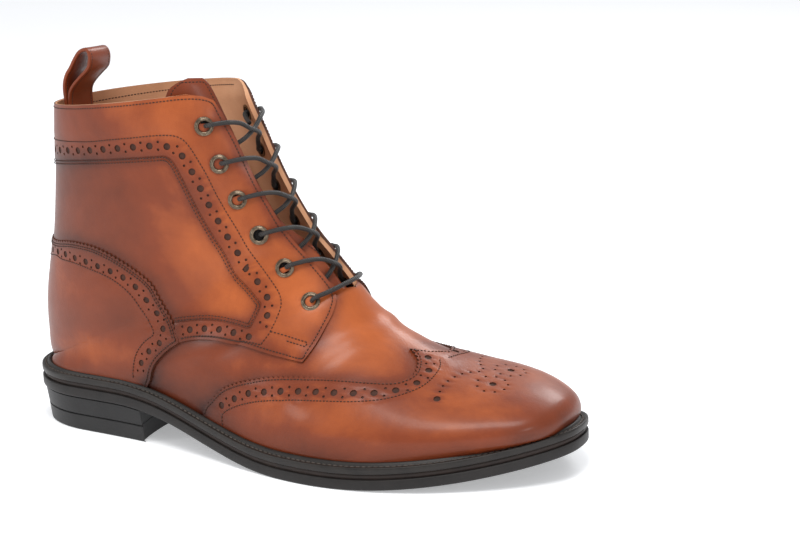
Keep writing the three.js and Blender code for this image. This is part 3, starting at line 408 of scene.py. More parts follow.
def shifted(t, u, first, second):
    """Moves a place by millimetres: first along the sections, second across, both on the surface."""
    t, u = np.asarray(t, dtype=float), np.asarray(u, dtype=float)
    along, across = tangents(t, u)
    unit = along / np.linalg.norm(along, axis=-1, keepdims=True)
    side = across - (across * unit).sum(-1, keepdims=True) * unit
    side_length = np.linalg.norm(side, axis=-1)
    slide = (across * unit).sum(-1)
    du = np.asarray(second) / side_length
    dt = (np.asarray(first) - du * slide) / np.linalg.norm(along, axis=-1)
    return t + dt, u + du


GRID_TREE = KDTree(GRID.shape[0] // 2 * GRID.shape[1])
for tree_row in range(0, GRID.shape[0] - 1, 2):
    for tree_column in range(GRID.shape[1]):
        GRID_TREE.insert(GRID[tree_row, tree_column], tree_row * GRID.shape[1] + tree_column)
GRID_TREE.balance()
CORNER_START, CORNER_END = 10.7, 14.9


def nearest(points):
    """The places on the surface nearest to points."""
    index = np.array([GRID_TREE.find(point)[1] for point in points])
    t, u = (index // GRID.shape[1]) * GRID_T, (index % GRID.shape[1]) * GRID_U - 1
    for _ in range(3):
        along, across = tangents(t, u)
        miss = points - look_up(GRID, t, u)
        aa, ac, cc = (along * along).sum(-1), (along * across).sum(-1), (across * across).sum(-1)
        ma, mc = (miss * along).sum(-1), (miss * across).sum(-1)
        det = np.maximum(aa * cc - ac * ac, 1e-9)
        t = np.clip(t + np.clip((cc * ma - ac * mc) / det, -0.08, 0.08), 0, T_MAX)
        u = np.clip(u + np.clip((aa * mc - ac * ma) / det, -0.02, 0.02), -1, 1)
    return np.stack([t, u], -1)


def through(pts, weights):
    """Cubic through points with tangents held short, 40 steps a span."""
    k = np.arange(len(pts))
    fine = np.linspace(0, len(pts) - 1, 40 * (len(pts) - 1) + 1)
    i = np.clip(fine.astype(int), 0, len(pts) - 2)
    s = (fine - i)[:, None]
    before = pts[np.clip(i - 1, 0, len(pts) - 1)]
    after = pts[np.clip(i + 2, 0, len(pts) - 1)]
    a, b = pts[i], pts[i + 1]
    chord = np.linalg.norm((b - a) * weights, axis=1, keepdims=True)
    m0 = np.where(k[i][:, None] > 0, (b - before) / 2, b - a)
    m1 = np.where(k[i][:, None] < len(pts) - 2, (after - a) / 2, b - a)
    length0, length1 = (np.linalg.norm(m * weights, axis=1, keepdims=True) for m in (m0, m1))
    limit0 = np.minimum(1, 1.5 * chord / np.maximum(length0, 1e-6))
    limit1 = np.minimum(1, 1.5 * chord / np.maximum(length1, 1e-6))
    curve = ((2 * s**3 - 3 * s**2 + 1) * a + (s**3 - 2 * s**2 + s) * m0 * limit0
             + (3 * s**2 - 2 * s**3) * b + (s**3 - s**2) * m1 * limit1)
    return curve, i


def resample(line, step):
    """Smooth line through table places with even steps in millimetres on the boot."""
    pts = np.array(line, dtype=float)
    curve, span = through(pts, np.array([12.0, 90.0]))
    ends = (pts[:, 0] > CORNER_START) & (pts[:, 0] < CORNER_END) & (np.abs(pts[:, 1]) < 0.97)
    bent = (ends[:-1] & ends[1:])[span]
    if bent.any():
        in_space, _ = through(look_up(GRID, pts[:, 0], pts[:, 1]), np.ones(3))
        curve[bent] = nearest(in_space[bent])
    place = look_up(GRID, curve[:, 0], curve[:, 1])
    run = np.concatenate([[0], np.cumsum(np.linalg.norm(np.diff(place, axis=0), axis=1))])
    count = max(int(round(run[-1] / step)), 1)
    at = np.linspace(0, run[-1], count + 1)
    return np.stack([np.interp(at, run, curve[:, 0]), np.interp(at, run, curve[:, 1])], -1)


def beside(curve, distance):
    """A line beside another on the surface, to its left for a positive distance."""
    t, u = curve[:, 0], curve[:, 1]
    place = look_up(GRID, t, u)
    ahead = np.gradient(place, axis=0)
    along, across = tangents(t, u)
    normal = look_up(NORMALS, t, u)
    left = np.cross(normal, ahead)
    left = left / np.maximum(np.linalg.norm(left, axis=1, keepdims=True), 1e-9)
    unit = along / np.linalg.norm(along, axis=-1, keepdims=True)
    side = np.cross(unit, normal)
    side = side * np.sign((side * across).sum(-1, keepdims=True))
    first = (left * unit).sum(-1) * distance
    second = (left * side).sum(-1) * distance
    t2, u2 = shifted(t, u, first, second)
    return np.stack([np.clip(t2, 0, T_MAX), np.clip(u2, -1, 1)], -1)


def gimped(line, inward):
    """A zigzag edge along a line; inward is 1 or -1 for the side that the panel lies on."""
    curve = resample(line, GIMP_PITCH / 4)
    offset = np.array([0.0, 0.5, 1.0, 0.5])[np.arange(len(curve)) % 4] * GIMP_HEIGHT
    offset[-1] = 0
    out = curve.copy()
    for level in (0.5, 1.0):
        chosen = np.isclose(offset, level * GIMP_HEIGHT)
        out[chosen] = beside(curve, inward * level * GIMP_HEIGHT)[chosen]
    return out


def inside(points, polygon):
    """Which points lie inside a polygon."""
    x, y = points[:, 0], points[:, 1]
    hit = np.zeros(len(points), dtype=bool)
    a = polygon
    b = np.roll(polygon, -1, axis=0)
    for (x0, y0), (x1, y1) in zip(a, b):
        if y0 == y1:
            continue
        between = (y0 > y) != (y1 > y)
        hit ^= between & (x < (x1 - x0) * (y - y0) / (y1 - y0) + x0)
    return hit


# Meshes
def make_object(name, verts, faces, materials, face_slots=None, burnish_and_shade=None, sharp=None):
    """One mesh piece in metres from places in millimetres."""
    mesh = bpy.data.meshes.new(name)
    mesh.from_pydata((np.asarray(verts) * MM).tolist(), [], [list(f) for f in faces])
    for material in materials:
        mesh.materials.append(material)
    if face_slots is not None:
        mesh.polygons.foreach_set("material_index", np.asarray(face_slots, dtype=np.int32))
    mesh.polygons.foreach_set("use_smooth", np.full(len(mesh.polygons), True))
    if burnish_and_shade is not None:
        layer = mesh.attributes.new("burnish_and_shade", "FLOAT", "POINT")
        layer.data.foreach_set("value", np.asarray(burnish_and_shade, dtype=np.float32))
    mesh.update()
    mesh.validate()
    if sharp is not None:
        mark_sharp(mesh, sharp)
    obj = bpy.data.objects.new(name, mesh)
    bpy.context.scene.collection.objects.link(obj)
    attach(obj, BODY)
    return obj


def mark_sharp(mesh, angle):
    """Marks the edges that bend more than an angle as sharp."""
    normals = np.empty(len(mesh.polygons) * 3)
    mesh.polygons.foreach_get("normal", normals)
    normals = normals.reshape(-1, 3)
    edge_faces = {}
    for polygon in mesh.polygons:
        for key in polygon.edge_keys:
            edge_faces.setdefault(key, []).append(polygon.index)
    limit = math.cos(math.radians(angle))
    for edge in mesh.edges:
        faces = edge_faces.get(tuple(sorted(edge.vertices)), [])
        if len(faces) != 2:
            edge.use_edge_sharp = True
        elif normals[faces[0]] @ normals[faces[1]] < limit:
            edge.use_edge_sharp = True


DOMAIN = np.array([12.0, 95.0])
OPEN_RADIUS = 2.2
EYELET_OPENING = EYELET_HOLE / 2 + 0.5
RIM_DROP = 0.2
GROOVE_DROP = 0.28
BIG_RING_SIDES = 14
PIN_RING_SIDES = 8


def ring_places(t, u, radius, count):
    """A round hole's rim as places on the upper."""
    angle = np.linspace(0, 2 * np.pi, count, endpoint=False)
    rim_t, rim_u = shifted(np.full(count, t), np.full(count, u),
                           radius * np.cos(angle), radius * np.sin(angle))
    return np.stack([rim_t, rim_u], -1)


def panel(name, outline, top, depth, holes, materials, grooves=(), step=MESH_STEP, edge_drop=0.3,
          open_edge=None):
    """A leather panel on the upper: a cut outline with punched holes, sewn grooves and real edges.

    top is its height over the upper and depth its thickness. holes are (section, place, radius).
    materials are its leather, its cut edge, also painted as shade on the floor of its pin holes, and the
    painted shade on the floor of its other holes.
    """
    outline = np.asarray(outline, dtype=float)
    keep = np.linalg.norm((outline - np.roll(outline, 1, axis=0)) * DOMAIN, axis=1) > 0.05
    outline = outline[keep]
    rings = [ring_places(t, u, r, BIG_RING_SIDES if r > 1 else PIN_RING_SIDES) for t, u, r in holes]
    low, high = outline.min(0), outline.max(0)
    flat = outline * DOMAIN
    xs = np.arange(low[0] * DOMAIN[0], high[0] * DOMAIN[0] + step, step)
    ys = np.arange(low[1] * DOMAIN[1], high[1] * DOMAIN[1] + step, step * 0.866)
    gx, gy = np.meshgrid(xs, ys)
    gx = gx + (np.arange(len(ys)) % 2)[:, None] * step / 2
    cloud = np.stack([gx.ravel(), gy.ravel()], -1)
    cloud = cloud[inside(cloud, flat)]
    extra = [beside(groove, 0.0) for groove in grooves]
    groove_flat = np.vstack([g * DOMAIN for g in extra]) if extra else np.zeros((0, 2))
    tree_points = np.vstack([flat] + [r * DOMAIN for r in rings] + [groove_flat])
    tree = KDTree(len(tree_points))
    for i, (x, y) in enumerate(tree_points):
        tree.insert((x, y, 0), i)
    tree.balance()
    cloud = np.array([p for p in cloud if tree.find((p[0], p[1], 0))[2] > step * 0.55]).reshape(-1, 2)
    if len(groove_flat):
        groove_flat = groove_flat[inside(groove_flat, flat)]
    points, edges, ring_of = [], [], []
    for k, loop in enumerate([flat] + [r * DOMAIN for r in rings]):
        start = len(points)
        points.extend(loop.tolist())
        edges.extend([(start + i, start + (i + 1) % len(loop)) for i in range(len(loop))])
        ring_of.extend([k] * len(loop))
    first_groove = len(points)
    points.extend(groove_flat.tolist())
    first_cloud = len(points)
    points.extend(cloud.tolist())
    ring_of.extend([-1] * (len(points) - len(ring_of)))
    result = delaunay_2d_cdt([Vector(p) for p in points], edges, [], 0, 1e-5, True)
    places = np.array([tuple(v) for v in result[0]]) / DOMAIN
    origin = [ids[0] if ids else -1 for ids in result[3]]
    ring = np.array([ring_of[o] if o >= 0 else -1 for o in origin])
    is_groove = np.array([first_groove <= o < first_cloud for o in origin])
    t, u = places[:, 0], places[:, 1]
    heights = np.full(len(places), float(top))
    heights[ring == 0] -= edge_drop
    heights[ring > 0] -= RIM_DROP
    heights[is_groove] -= GROOVE_DROP
    verts = [on(t, u, heights)]
    count = len(places)
    faces, slots = [], []
    centroids = (places[[f[0] for f in result[2]]] + places[[f[1] for f in result[2]]]
                 + places[[f[2] for f in result[2]]]) / 3 * DOMAIN
    kept = inside(centroids, flat)
    for face, wanted in zip(result[2], kept):
        a, b, c = face
        if not wanted or (ring[a] > 0 and ring[a] == ring[b] == ring[c]):
            continue
        faces.append((a, b, c))
        slots.append(0)
    sample = verts[0][np.array(faces[:400])]
    outward = look_up(NORMALS, t[[f[0] for f in faces[:400]]], u[[f[0] for f in faces[:400]]])
    turn = (np.cross(sample[:, 1] - sample[:, 0], sample[:, 2] - sample[:, 0]) * outward).sum()
    if turn < 0:
        faces = [(a, c, b) for a, b, c in faces]
    edge_count = {}
    for a, b, c in faces:
        for pair in ((a, b), (b, c), (c, a)):
            edge_count[pair] = True
    border = [pair for pair in edge_count if (pair[1], pair[0]) not in edge_count]
    below = {}
    low_t, low_u, low_h = [], [], []
    for a, b in border:
        for i in (a, b):
            if i in below:
                continue
            below[i] = count + len(low_t)
            low_t.append(t[i])
            low_u.append(u[i])
            radius = holes[ring[i] - 1][2] if ring[i] > 0 else 0
            low_h.append(top - (HOLE_DEPTH if 0 < radius < OPEN_RADIUS else depth))
    verts.append(on(np.array(low_t), np.array(low_u), np.array(low_h)))
    for a, b in border:
        if open_edge is not None and open_edge(t[a], u[a]) and open_edge(t[b], u[b]):
            continue
        faces.append((b, a, below[a], below[b]))
        slots.append(1)
    # The floors of the closed holes are painted shade: the big holes get the hole shade, the pin holes the
    # dark cut-edge colour
    for k in range(1, len(rings) + 1):
        loop = [i for i in np.nonzero(ring == k)[0] if i in below]
        if len(loop) < 3 or holes[k - 1][2] > OPEN_RADIUS:
            continue
        order = sorted(loop, key=lambda i: math.atan2((u[i] - rings[k - 1][:, 1].mean()) * DOMAIN[1],
                                                      (t[i] - rings[k - 1][:, 0].mean()) * DOMAIN[0]))
        cap = [below[i] for i in order]
        faces.append(tuple(reversed(cap)) if turn < 0 else tuple(cap))
        slots.append(2 if holes[k - 1][2] > PIN_RADIUS else 1)
    verts = np.vstack(verts)
    # Burnish and painted shade over the panel, with the rims of its holes painted darker as well
    shade = burnish_and_shade_at(verts)
    shade[:count] = np.maximum(shade[:count], 0.25 * (ring > 0))
    return make_object(name, verts, faces, materials, slots, burnish_and_shade=shade, sharp=48)


# Burnish and painted shade: how dark the leather is painted, from its distance to the seams and from its
# place on the boot
SEAM_LINES = []


def add_seam(line):
    for side in (1, -1):
        curve = resample(line, 3.0) * [1, side]
        SEAM_LINES.append(on(curve[:, 0], curve[:, 1], 1.0))


for seam in (COUNTER_TOP, COUNTER_FRONT, WING_EDGE, THROAT_LINE, FACING_BOTTOM, WINDOW_LINE):
    add_seam(seam)
SEAM_TREE = KDTree(sum(len(line) for line in SEAM_LINES))
for number, seam_place in enumerate(np.vstack(SEAM_LINES)):
    SEAM_TREE.insert(seam_place, number)
SEAM_TREE.balance()


def burnish_and_shade_at(verts):
    """Burnish and painted shade from 0 to 1 at places in millimetres."""
    verts = np.asarray(verts)
    distance = np.array([SEAM_TREE.find(v)[2] for v in verts])
    x, z = verts[:, 0], verts[:, 2]
    # Darker next to the seams, towards the toe, at the heel, low by the sole and at the waist: partly
    # burnish, partly painted shade
    seams = 0.40 * np.exp(-(distance / 4.5) ** 2)
    toe = 0.34 * smoothstep(196, 262, x)
    heel = 0.30 * smoothstep(20, -34, x) * smoothstep(70, 45, z)
    low = 0.45 * smoothstep(17, 0, z - underside(x + ORIGIN_X) - SOLE_THICKNESS)
    # Painted shade: the sides of the shaft are darkened, as they are lit less than the vamp by the light from
    # above
    bound = 44 + 0.5 * (165 - z)
    shaft = 0.50 * smoothstep(bound + 8, bound - 34, x) * smoothstep(38, 64, z)
    waist = 0.38 * np.exp(-((x - 66) / 36) ** 2 - ((z - 38) / 18) ** 2)
    return np.clip(seams + toe + heel + low + shaft + waist, 0, 1)


def stitches(name, rows, height, material):
    """Rows of sewn stitches as small six-sided capsules, all in one mesh."""
    verts, faces = [], []
    for curve in rows:
        place = on(curve[:, 0], curve[:, 1], height)
        normal = look_up(NORMALS, curve[:, 0], curve[:, 1])
        capsules(verts, faces, place, normal, STITCH_LENGTH, STITCH_THICKNESS)
    return make_object(name, verts, faces, [material])


def capsules(verts, faces, place, normal, length, thickness):
    """Adds one capsule between each two neighbouring places."""
    sides = 6
    profile = [(-0.5, 0.35), (-0.3, 1.0), (0.3, 1.0), (0.5, 0.35)]
    for i in range(len(place) - 1):
        ahead = place[i + 1] - place[i]
        span = np.linalg.norm(ahead)
        if span < 1e-6 or span > 2.2 * max(length, 1.0):
            continue
        ahead = ahead / span
        up = normal[i] - (normal[i] @ ahead) * ahead
        up = up / max(np.linalg.norm(up), 1e-9)
        right = np.cross(ahead, up)
        centre = (place[i] + place[i + 1]) / 2
        used = min(length, span)
        start = len(verts)
        for along, wide in profile:
            sink = -thickness * 0.25 * (1 - wide)
            for k in range(sides):
                angle = 2 * math.pi * k / sides
                offset = right * math.cos(angle) + up * math.sin(angle)
                verts.append(centre + ahead * along * used + offset * wide * thickness / 2 + up * sink)
        for ring in range(len(profile) - 1):
            for k in range(sides):
                a = start + ring * sides + k
                b = start + ring * sides + (k + 1) % sides
                faces.append((a, b, b + sides, a + sides))
        faces.append(tuple(start + k for k in reversed(range(sides))))
        faces.append(tuple(start + (len(profile) - 1) * sides + k for k in range(sides)))
    return verts, faces


def punched_band(outer, inner, start, skip_end):
    """Holes between two stitched rows: a big hole, then two small ones, and so on."""
    a, b = resample(outer, 1.0), resample(inner, 1.0)
    n = max(len(a), len(b))
    at = np.linspace(0, 1, n)
    a = np.stack([np.interp(at, np.linspace(0, 1, len(a)), a[:, k]) for k in (0, 1)], -1)
    b = np.stack([np.interp(at, np.linspace(0, 1, len(b)), b[:, k]) for k in (0, 1)], -1)
    return holes_along((a + b) / 2, HOLE_PITCH, start, skip_end)


def holes_along(curve, pitch=HOLE_PITCH, start=0.5, skip_end=0.0):
    place = look_up(GRID, curve[:, 0], curve[:, 1])
    run = np.concatenate([[0], np.cumsum(np.linalg.norm(np.diff(place, axis=0), axis=1))])
    holes = []
    count = int((run[-1] - skip_end - start * pitch) / (pitch / 2)) + 1
    for k in range(count):
        s = start * pitch + k * pitch / 2
        centre = np.array([[np.interp(s, run, curve[:, 0]), np.interp(s, run, curve[:, 1])],
                           [np.interp(s + 0.5, run, curve[:, 0]), np.interp(s + 0.5, run, curve[:, 1])]])
        if k % 2 == 0:
            holes.append((centre[0, 0], centre[0, 1], HOLE_RADIUS))
            continue
        for distance in (-PIN_SPREAD, PIN_SPREAD):
            t, u = beside(centre, distance)[0]
            holes.append((t, u, PIN_RADIUS))
    return holes


# Materials
def new_material(name):
    material = bpy.data.materials.new(name)
    material.use_nodes = True
    return material, material.node_tree.nodes, material.node_tree.links


def node(nodes, kind, **values):
    made = nodes.new(kind)
    for key, value in values.items():
        if key in ("operation", "blend_type", "data_type", "noise_dimensions", "feature", "distance",
                   "attribute_name", "wave_type", "bands_direction", "voronoi_dimensions"):
            setattr(made, key, value)
        else:
            made.inputs[key.replace("_", " ")].default_value = value
    return made


def ramp(nodes, stops):
    made = nodes.new("ShaderNodeValToRGB")
    elements = made.color_ramp.elements
    while len(elements) < len(stops):
        elements.new(0.5)
    for element, (place, colour) in zip(elements, stops):
        element.position = place
        element.color = (*colour, 1)
    return made


def leather_material(name, bright, mid, dark, roughness=0.40, coat=0.16, grain=0.16):
    """Hand-burnished smooth leather: cloudy colour, dark seams and ends partly burnished and partly painted
    shade, fine grain and a waxed coat.
    """
    material, nodes, links = new_material(name)
    shader = nodes["Principled BSDF"]
    place = nodes.new("ShaderNodeTexCoord")
    cloud = node(nodes, "ShaderNodeTexNoise", Scale=17.0, Detail=5.0, Roughness=0.55, Distortion=0.35)
    wisps = node(nodes, "ShaderNodeTexNoise", Scale=60.0, Detail=5.0, Roughness=0.6, Distortion=0.8)
    links.new(place.outputs["Object"], cloud.inputs["Vector"])
    links.new(place.outputs["Object"], wisps.inputs["Vector"])
    # Burnish and painted shade from the mesh darken the colour through the ramp
    burnish_and_shade = nodes.new("ShaderNodeAttribute")
    burnish_and_shade.attribute_name = "burnish_and_shade"
    cloud_range = node(nodes, "ShaderNodeMapRange")
    cloud_range.inputs["From Min"].default_value = 0.32
    cloud_range.inputs["From Max"].default_value = 0.70
    links.new(cloud.outputs["Fac"], cloud_range.inputs["Value"])
    patches = node(nodes, "ShaderNodeMath", operation="MULTIPLY")
    patches.inputs[1].default_value = 0.42
    links.new(cloud_range.outputs["Result"], patches.inputs[0])
    wisp_part = node(nodes, "ShaderNodeMath", operation="MULTIPLY_ADD")
    wisp_part.inputs[1].default_value = 0.16
    links.new(wisps.outputs["Fac"], wisp_part.inputs[0])
    links.new(patches.outputs[0], wisp_part.inputs[2])
    total = node(nodes, "ShaderNodeMath", operation="MULTIPLY_ADD")
    total.inputs[1].default_value = 0.62
    links.new(burnish_and_shade.outputs["Fac"], total.inputs[0])
    links.new(wisp_part.outputs[0], total.inputs[2])
    colour = ramp(nodes, [(0.0, bright), (0.45, mid), (1.0, dark)])
    links.new(total.outputs[0], colour.inputs["Fac"])
    links.new(colour.outputs["Color"], shader.inputs["Base Color"])
    rough = node(nodes, "ShaderNodeMapRange")
    rough.inputs["To Min"].default_value = roughness - 0.05
    rough.inputs["To Max"].default_value = roughness + 0.09
    links.new(wisps.outputs["Fac"], rough.inputs["Value"])
    links.new(rough.outputs["Result"], shader.inputs["Roughness"])
    shader.inputs["Coat Weight"].default_value = coat
    shader.inputs["Coat Roughness"].default_value = 0.20
    shader.inputs["Specular IOR Level"].default_value = 0.25
    pores = node(nodes, "ShaderNodeTexVoronoi", Scale=1500.0, Randomness=1.0)
    fine = node(nodes, "ShaderNodeTexNoise", Scale=650.0, Detail=4.0, Roughness=0.65)
    pull = node(nodes, "ShaderNodeTexNoise", Scale=95.0, Detail=3.0, Roughness=0.5)
    for texture in (pores, fine, pull):
        links.new(place.outputs["Object"], texture.inputs["Vector"])
    mixed = node(nodes, "ShaderNodeMath", operation="MULTIPLY_ADD")
    mixed.inputs[1].default_value = 0.5
    links.new(pores.outputs["Distance"], mixed.inputs[0])
    links.new(fine.outputs["Fac"], mixed.inputs[2])
    mixed_two = node(nodes, "ShaderNodeMath", operation="MULTIPLY_ADD")
    mixed_two.inputs[1].default_value = 1.6
    links.new(pull.outputs["Fac"], mixed_two.inputs[0])
    links.new(mixed.outputs[0], mixed_two.inputs[2])
    bump = node(nodes, "ShaderNodeBump", Strength=grain, Distance=0.0004)
    links.new(mixed_two.outputs[0], bump.inputs["Height"])
    links.new(bump.outputs["Normal"], shader.inputs["Normal"])
    return material


def plain_material(name, dark, light, roughness, scale, bump_strength=0.2, metallic=0.0):
    """A matt or metal surface with mottled colour and fine relief."""
    material, nodes, links = new_material(name)
    shader = nodes["Principled BSDF"]
    place = nodes.new("ShaderNodeTexCoord")
    mottle = node(nodes, "ShaderNodeTexNoise", Scale=scale, Detail=5.0, Roughness=0.6)
    links.new(place.outputs["Object"], mottle.inputs["Vector"])
    colour = ramp(nodes, [(0.3, dark), (0.72, light)])
    links.new(mottle.outputs["Fac"], colour.inputs["Fac"])
    links.new(colour.outputs["Color"], shader.inputs["Base Color"])
    rough = node(nodes, "ShaderNodeMapRange")
    rough.inputs["To Min"].default_value = roughness - 0.08
    rough.inputs["To Max"].default_value = roughness + 0.08
    links.new(mottle.outputs["Fac"], rough.inputs["Value"])
    links.new(rough.outputs["Result"], shader.inputs["Roughness"])
    shader.inputs["Metallic"].default_value = metallic
    shader.inputs["Specular IOR Level"].default_value = 0.35
    grain = node(nodes, "ShaderNodeTexNoise", Scale=scale * 9, Detail=4.0, Roughness=0.6)
    links.new(place.outputs["Object"], grain.inputs["Vector"])
    bump = node(nodes, "ShaderNodeBump", Strength=bump_strength, Distance=0.0003)
    links.new(grain.outputs["Fac"], bump.inputs["Height"])
    links.new(bump.outputs["Normal"], shader.inputs["Normal"])
    return material


TAN_BRIGHT = (0.50, 0.120, 0.027)
TAN_MID = (0.20, 0.037, 0.0095)
TAN_DARK = (0.040, 0.0085, 0.0042)
LEATHER = leather_material("tan_leather", TAN_BRIGHT, TAN_MID, TAN_DARK)
# Dark cut edges of the leather; the same colour paints shade on the floor of the pin holes
CUT_EDGE_AND_PIN_SHADE = plain_material("cut_leather_edge_and_pin_hole_shade", (0.045, 0.013, 0.006), (0.10, 0.028, 0.012), 0.6, 300)
# Painted shade: the dark floor of the punched holes stands in for the shade inside them
HOLE_SHADE_FLOOR = plain_material("punched_hole_painted_shade", (0.030, 0.010, 0.006), (0.075, 0.026, 0.013), 0.7, 400)
LINING = leather_material("brown_lining", (0.74, 0.42, 0.25), (0.56, 0.28, 0.15), (0.31, 0.14, 0.075),
                          roughness=0.62, coat=0.0, grain=0.3)
SOCK = leather_material("insole_leather", (0.32, 0.15, 0.08), (0.24, 0.10, 0.05), (0.12, 0.05, 0.025),
                        roughness=0.6, coat=0.0, grain=0.3)
THREAD = plain_material("dark_thread", (0.022, 0.009, 0.006), (0.055, 0.022, 0.013), 0.55, 900)
WELT_THREAD = plain_material("welt_thread", (0.035, 0.028, 0.023), (0.12, 0.10, 0.085), 0.6, 900)
RUBBER = plain_material("sole_rubber", (0.009, 0.0085, 0.0085), (0.019, 0.018, 0.018), 0.50, 90, 0.25)
LAYER_RUBBER = plain_material("layer_rubber", (0.009, 0.0075, 0.007), (0.018, 0.015, 0.014), 0.52, 90, 0.25)
WELT_RUBBER = plain_material("welt_rubber", (0.010, 0.008, 0.007), (0.022, 0.018, 0.015), 0.44, 120, 0.25)
MIDSOLE_RUBBER = plain_material("midsole_rubber", (0.014, 0.0095, 0.008), (0.030, 0.018, 0.014),
                                0.6, 120, 0.3)
BRASS = plain_material("antique_brass", (0.085, 0.062, 0.042), (0.27, 0.21, 0.15), 0.30, 420, 0.15,
                       metallic=1.0)
EYELET_INSIDE = plain_material("eyelet_shade", (0.004, 0.003, 0.0025), (0.009, 0.006, 0.005), 0.8, 400)


def lace_material():
    """Waxed braid: diagonal ribs on a dark grey-brown cord."""
    material, nodes, links = new_material("waxed_lace")
    shader = nodes["Principled BSDF"]
    place = nodes.new("ShaderNodeTexCoord")
    ribs = node(nodes, "ShaderNodeTexWave", Scale=420.0, Distortion=1.2, Detail=1.0)
    ribs.bands_direction = "DIAGONAL"
    links.new(place.outputs["Object"], ribs.inputs["Vector"])
    colour = ramp(nodes, [(0.1, (0.006, 0.005, 0.0045)), (0.9, (0.026, 0.022, 0.020))])
    links.new(ribs.outputs["Fac"], colour.inputs["Fac"])
    links.new(colour.outputs["Color"], shader.inputs["Base Color"])
    shader.inputs["Roughness"].default_value = 0.55
    shader.inputs["Sheen Weight"].default_value = 0.08
    bump = node(nodes, "ShaderNodeBump", Strength=0.7, Distance=0.0003)
    links.new(ribs.outputs["Fac"], bump.inputs["Height"])
    links.new(bump.outputs["Normal"], shader.inputs["Normal"])
    return material


LACE = lace_material()


# The upper's wall, with its lining
def throat_edge(t):
    """Half opening of the throat as a place across the section."""
    table = np.array([(9.88, 0.0), (9.95, 0.018), (10.1, 0.045), (10.4, 0.066), (10.9, 0.072), (12.2, 0.070),
                      (14.0, 0.072), (15.75, 0.078), (17.2, 0.083), (18.2, 0.09), (19.1, 0.10), (19.6, 0.115),
                      (19.86, 0.155), (20.0, 0.20)])
    return np.interp(t, table[:, 0], table[:, 1])


def wall_half(side):
    """One side of the wall as a closed skin: outside, collar rim, lining and feather edge."""
    sections = np.concatenate([np.linspace(0.02, 3, 34), np.linspace(3, 13, 76)[1:],
                               np.linspace(13, 20, 100)[1:]])
    shares = np.concatenate([np.linspace(0, 0.25, 26), np.linspace(0.25, 1, 48)[1:]])
    tt, ss = np.meshgrid(sections, shares, indexing="ij")
    edge = throat_edge(tt)
    uu = side * (edge + (1 - edge) * ss)
    outside = on(tt, uu, 0.0)
    lining = on(tt, uu, lining_height(tt))
    rows, columns = tt.shape
    verts = np.concatenate([outside.reshape(-1, 3), lining.reshape(-1, 3)])
    number = np.arange(rows * columns).reshape(rows, columns)
    opened = np.zeros((rows, columns), dtype=bool)
    for t, v in EYELETS:
        centre = look_up(GRID, np.array(t), np.array(side * v))
        opened |= np.linalg.norm(look_up(GRID, tt, uu) - centre, axis=-1) < EYELET_OPENING + 0.4
    faces, slots = [], []
    for i in range(rows - 1):
        for j in range(columns - 1):
            if opened[i, j] and opened[i + 1, j + 1]:
                continue
            quad = (number[i, j], number[i, j + 1], number[i + 1, j + 1], number[i + 1, j])
            quad = quad if side > 0 else tuple(reversed(quad))
            faces.append(quad)
            slots.append(0)
            faces.append(tuple(q + rows * columns for q in reversed(quad)))
            slots.append(1)

    def rim(chain):
        for a, b in zip(chain[:-1], chain[1:]):
            quad = (a, b, b + rows * columns, a + rows * columns)
            faces.append(quad if side > 0 else tuple(reversed(quad)))
            slots.append(2)

    rim(list(reversed(number[-1, :])))
    open_rows = [i for i in range(rows) if throat_edge(sections[i]) > 0]
    rim([number[i, 0] for i in reversed(open_rows)])
    rim(list(number[:, -1][sections <= HEEL_SECTION]))
    return verts, faces, slots


def build_upper():
    left, right = wall_half(-1), wall_half(1)
    verts = np.concatenate([left[0], right[0]])
    faces = left[1] + [tuple(i + len(left[0]) for i in f) for f in right[1]]
    slots = left[2] + right[2]
    # Burnish and painted shade over the wall's leather, from its place on the boot
    upper = make_object("upper_wall", verts, faces, [LEATHER, LINING, LINING], slots,
                        burnish_and_shade=burnish_and_shade_at(verts))
    weld(upper, 0.02)
    mark_sharp(upper.data, 60)
    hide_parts("upper")
    rows = []
    for side in (-1, 1):
        line = np.stack([np.full(110, 19.78), side * np.linspace(0.24, 0.985, 110)], -1)
        rows.append(resample(line, STITCH_PITCH))
    verts, faces = [], []
    for row in rows:
        place = on(row[:, 0], row[:, 1], lining_height(row[:, 0]) - 0.05)
        inward = -look_up(NORMALS, row[:, 0], row[:, 1])
        capsules(verts, faces, place, inward, STITCH_LENGTH, STITCH_THICKNESS)
    thread = make_object("collar_stitches", verts, faces, [THREAD])
    return upper


def weld(obj, distance):
    """Joins vertices closer than a distance in millimetres."""
    import bmesh
    made = bmesh.new()
    made.from_mesh(obj.data)
    bmesh.ops.remove_doubles(made, verts=made.verts, dist=distance * MM)
    made.to_mesh(obj.data)
    made.free()


def facing_outline(side):
    collar = resample(COLLAR_LINE, BEND_STEP)
    front = resample(COLLAR_LINE[-1:] + THROAT_LINE, BEND_STEP)
    bottom = resample(THROAT_LINE[-1:] + FACING_BOTTOM, BEND_STEP)
    window = resample(WINDOW_LINE, BEND_STEP)
    loop = np.vstack([collar, front[1:], bottom[1:], window])
    return loop * [1, side]


def at_back(t, u):
    return abs(u) > 0.9995


def outside_counter(row):
    """The part of a row that the counter leaves open."""
    front = resample(COUNTER_TOP[-1:] + COUNTER_FRONT, BEND_STEP)
    shape = np.vstack([resample(COUNTER_TOP, BEND_STEP), front[1:]])
    covered = inside(row * DOMAIN, shape * DOMAIN)
    return row[~covered]


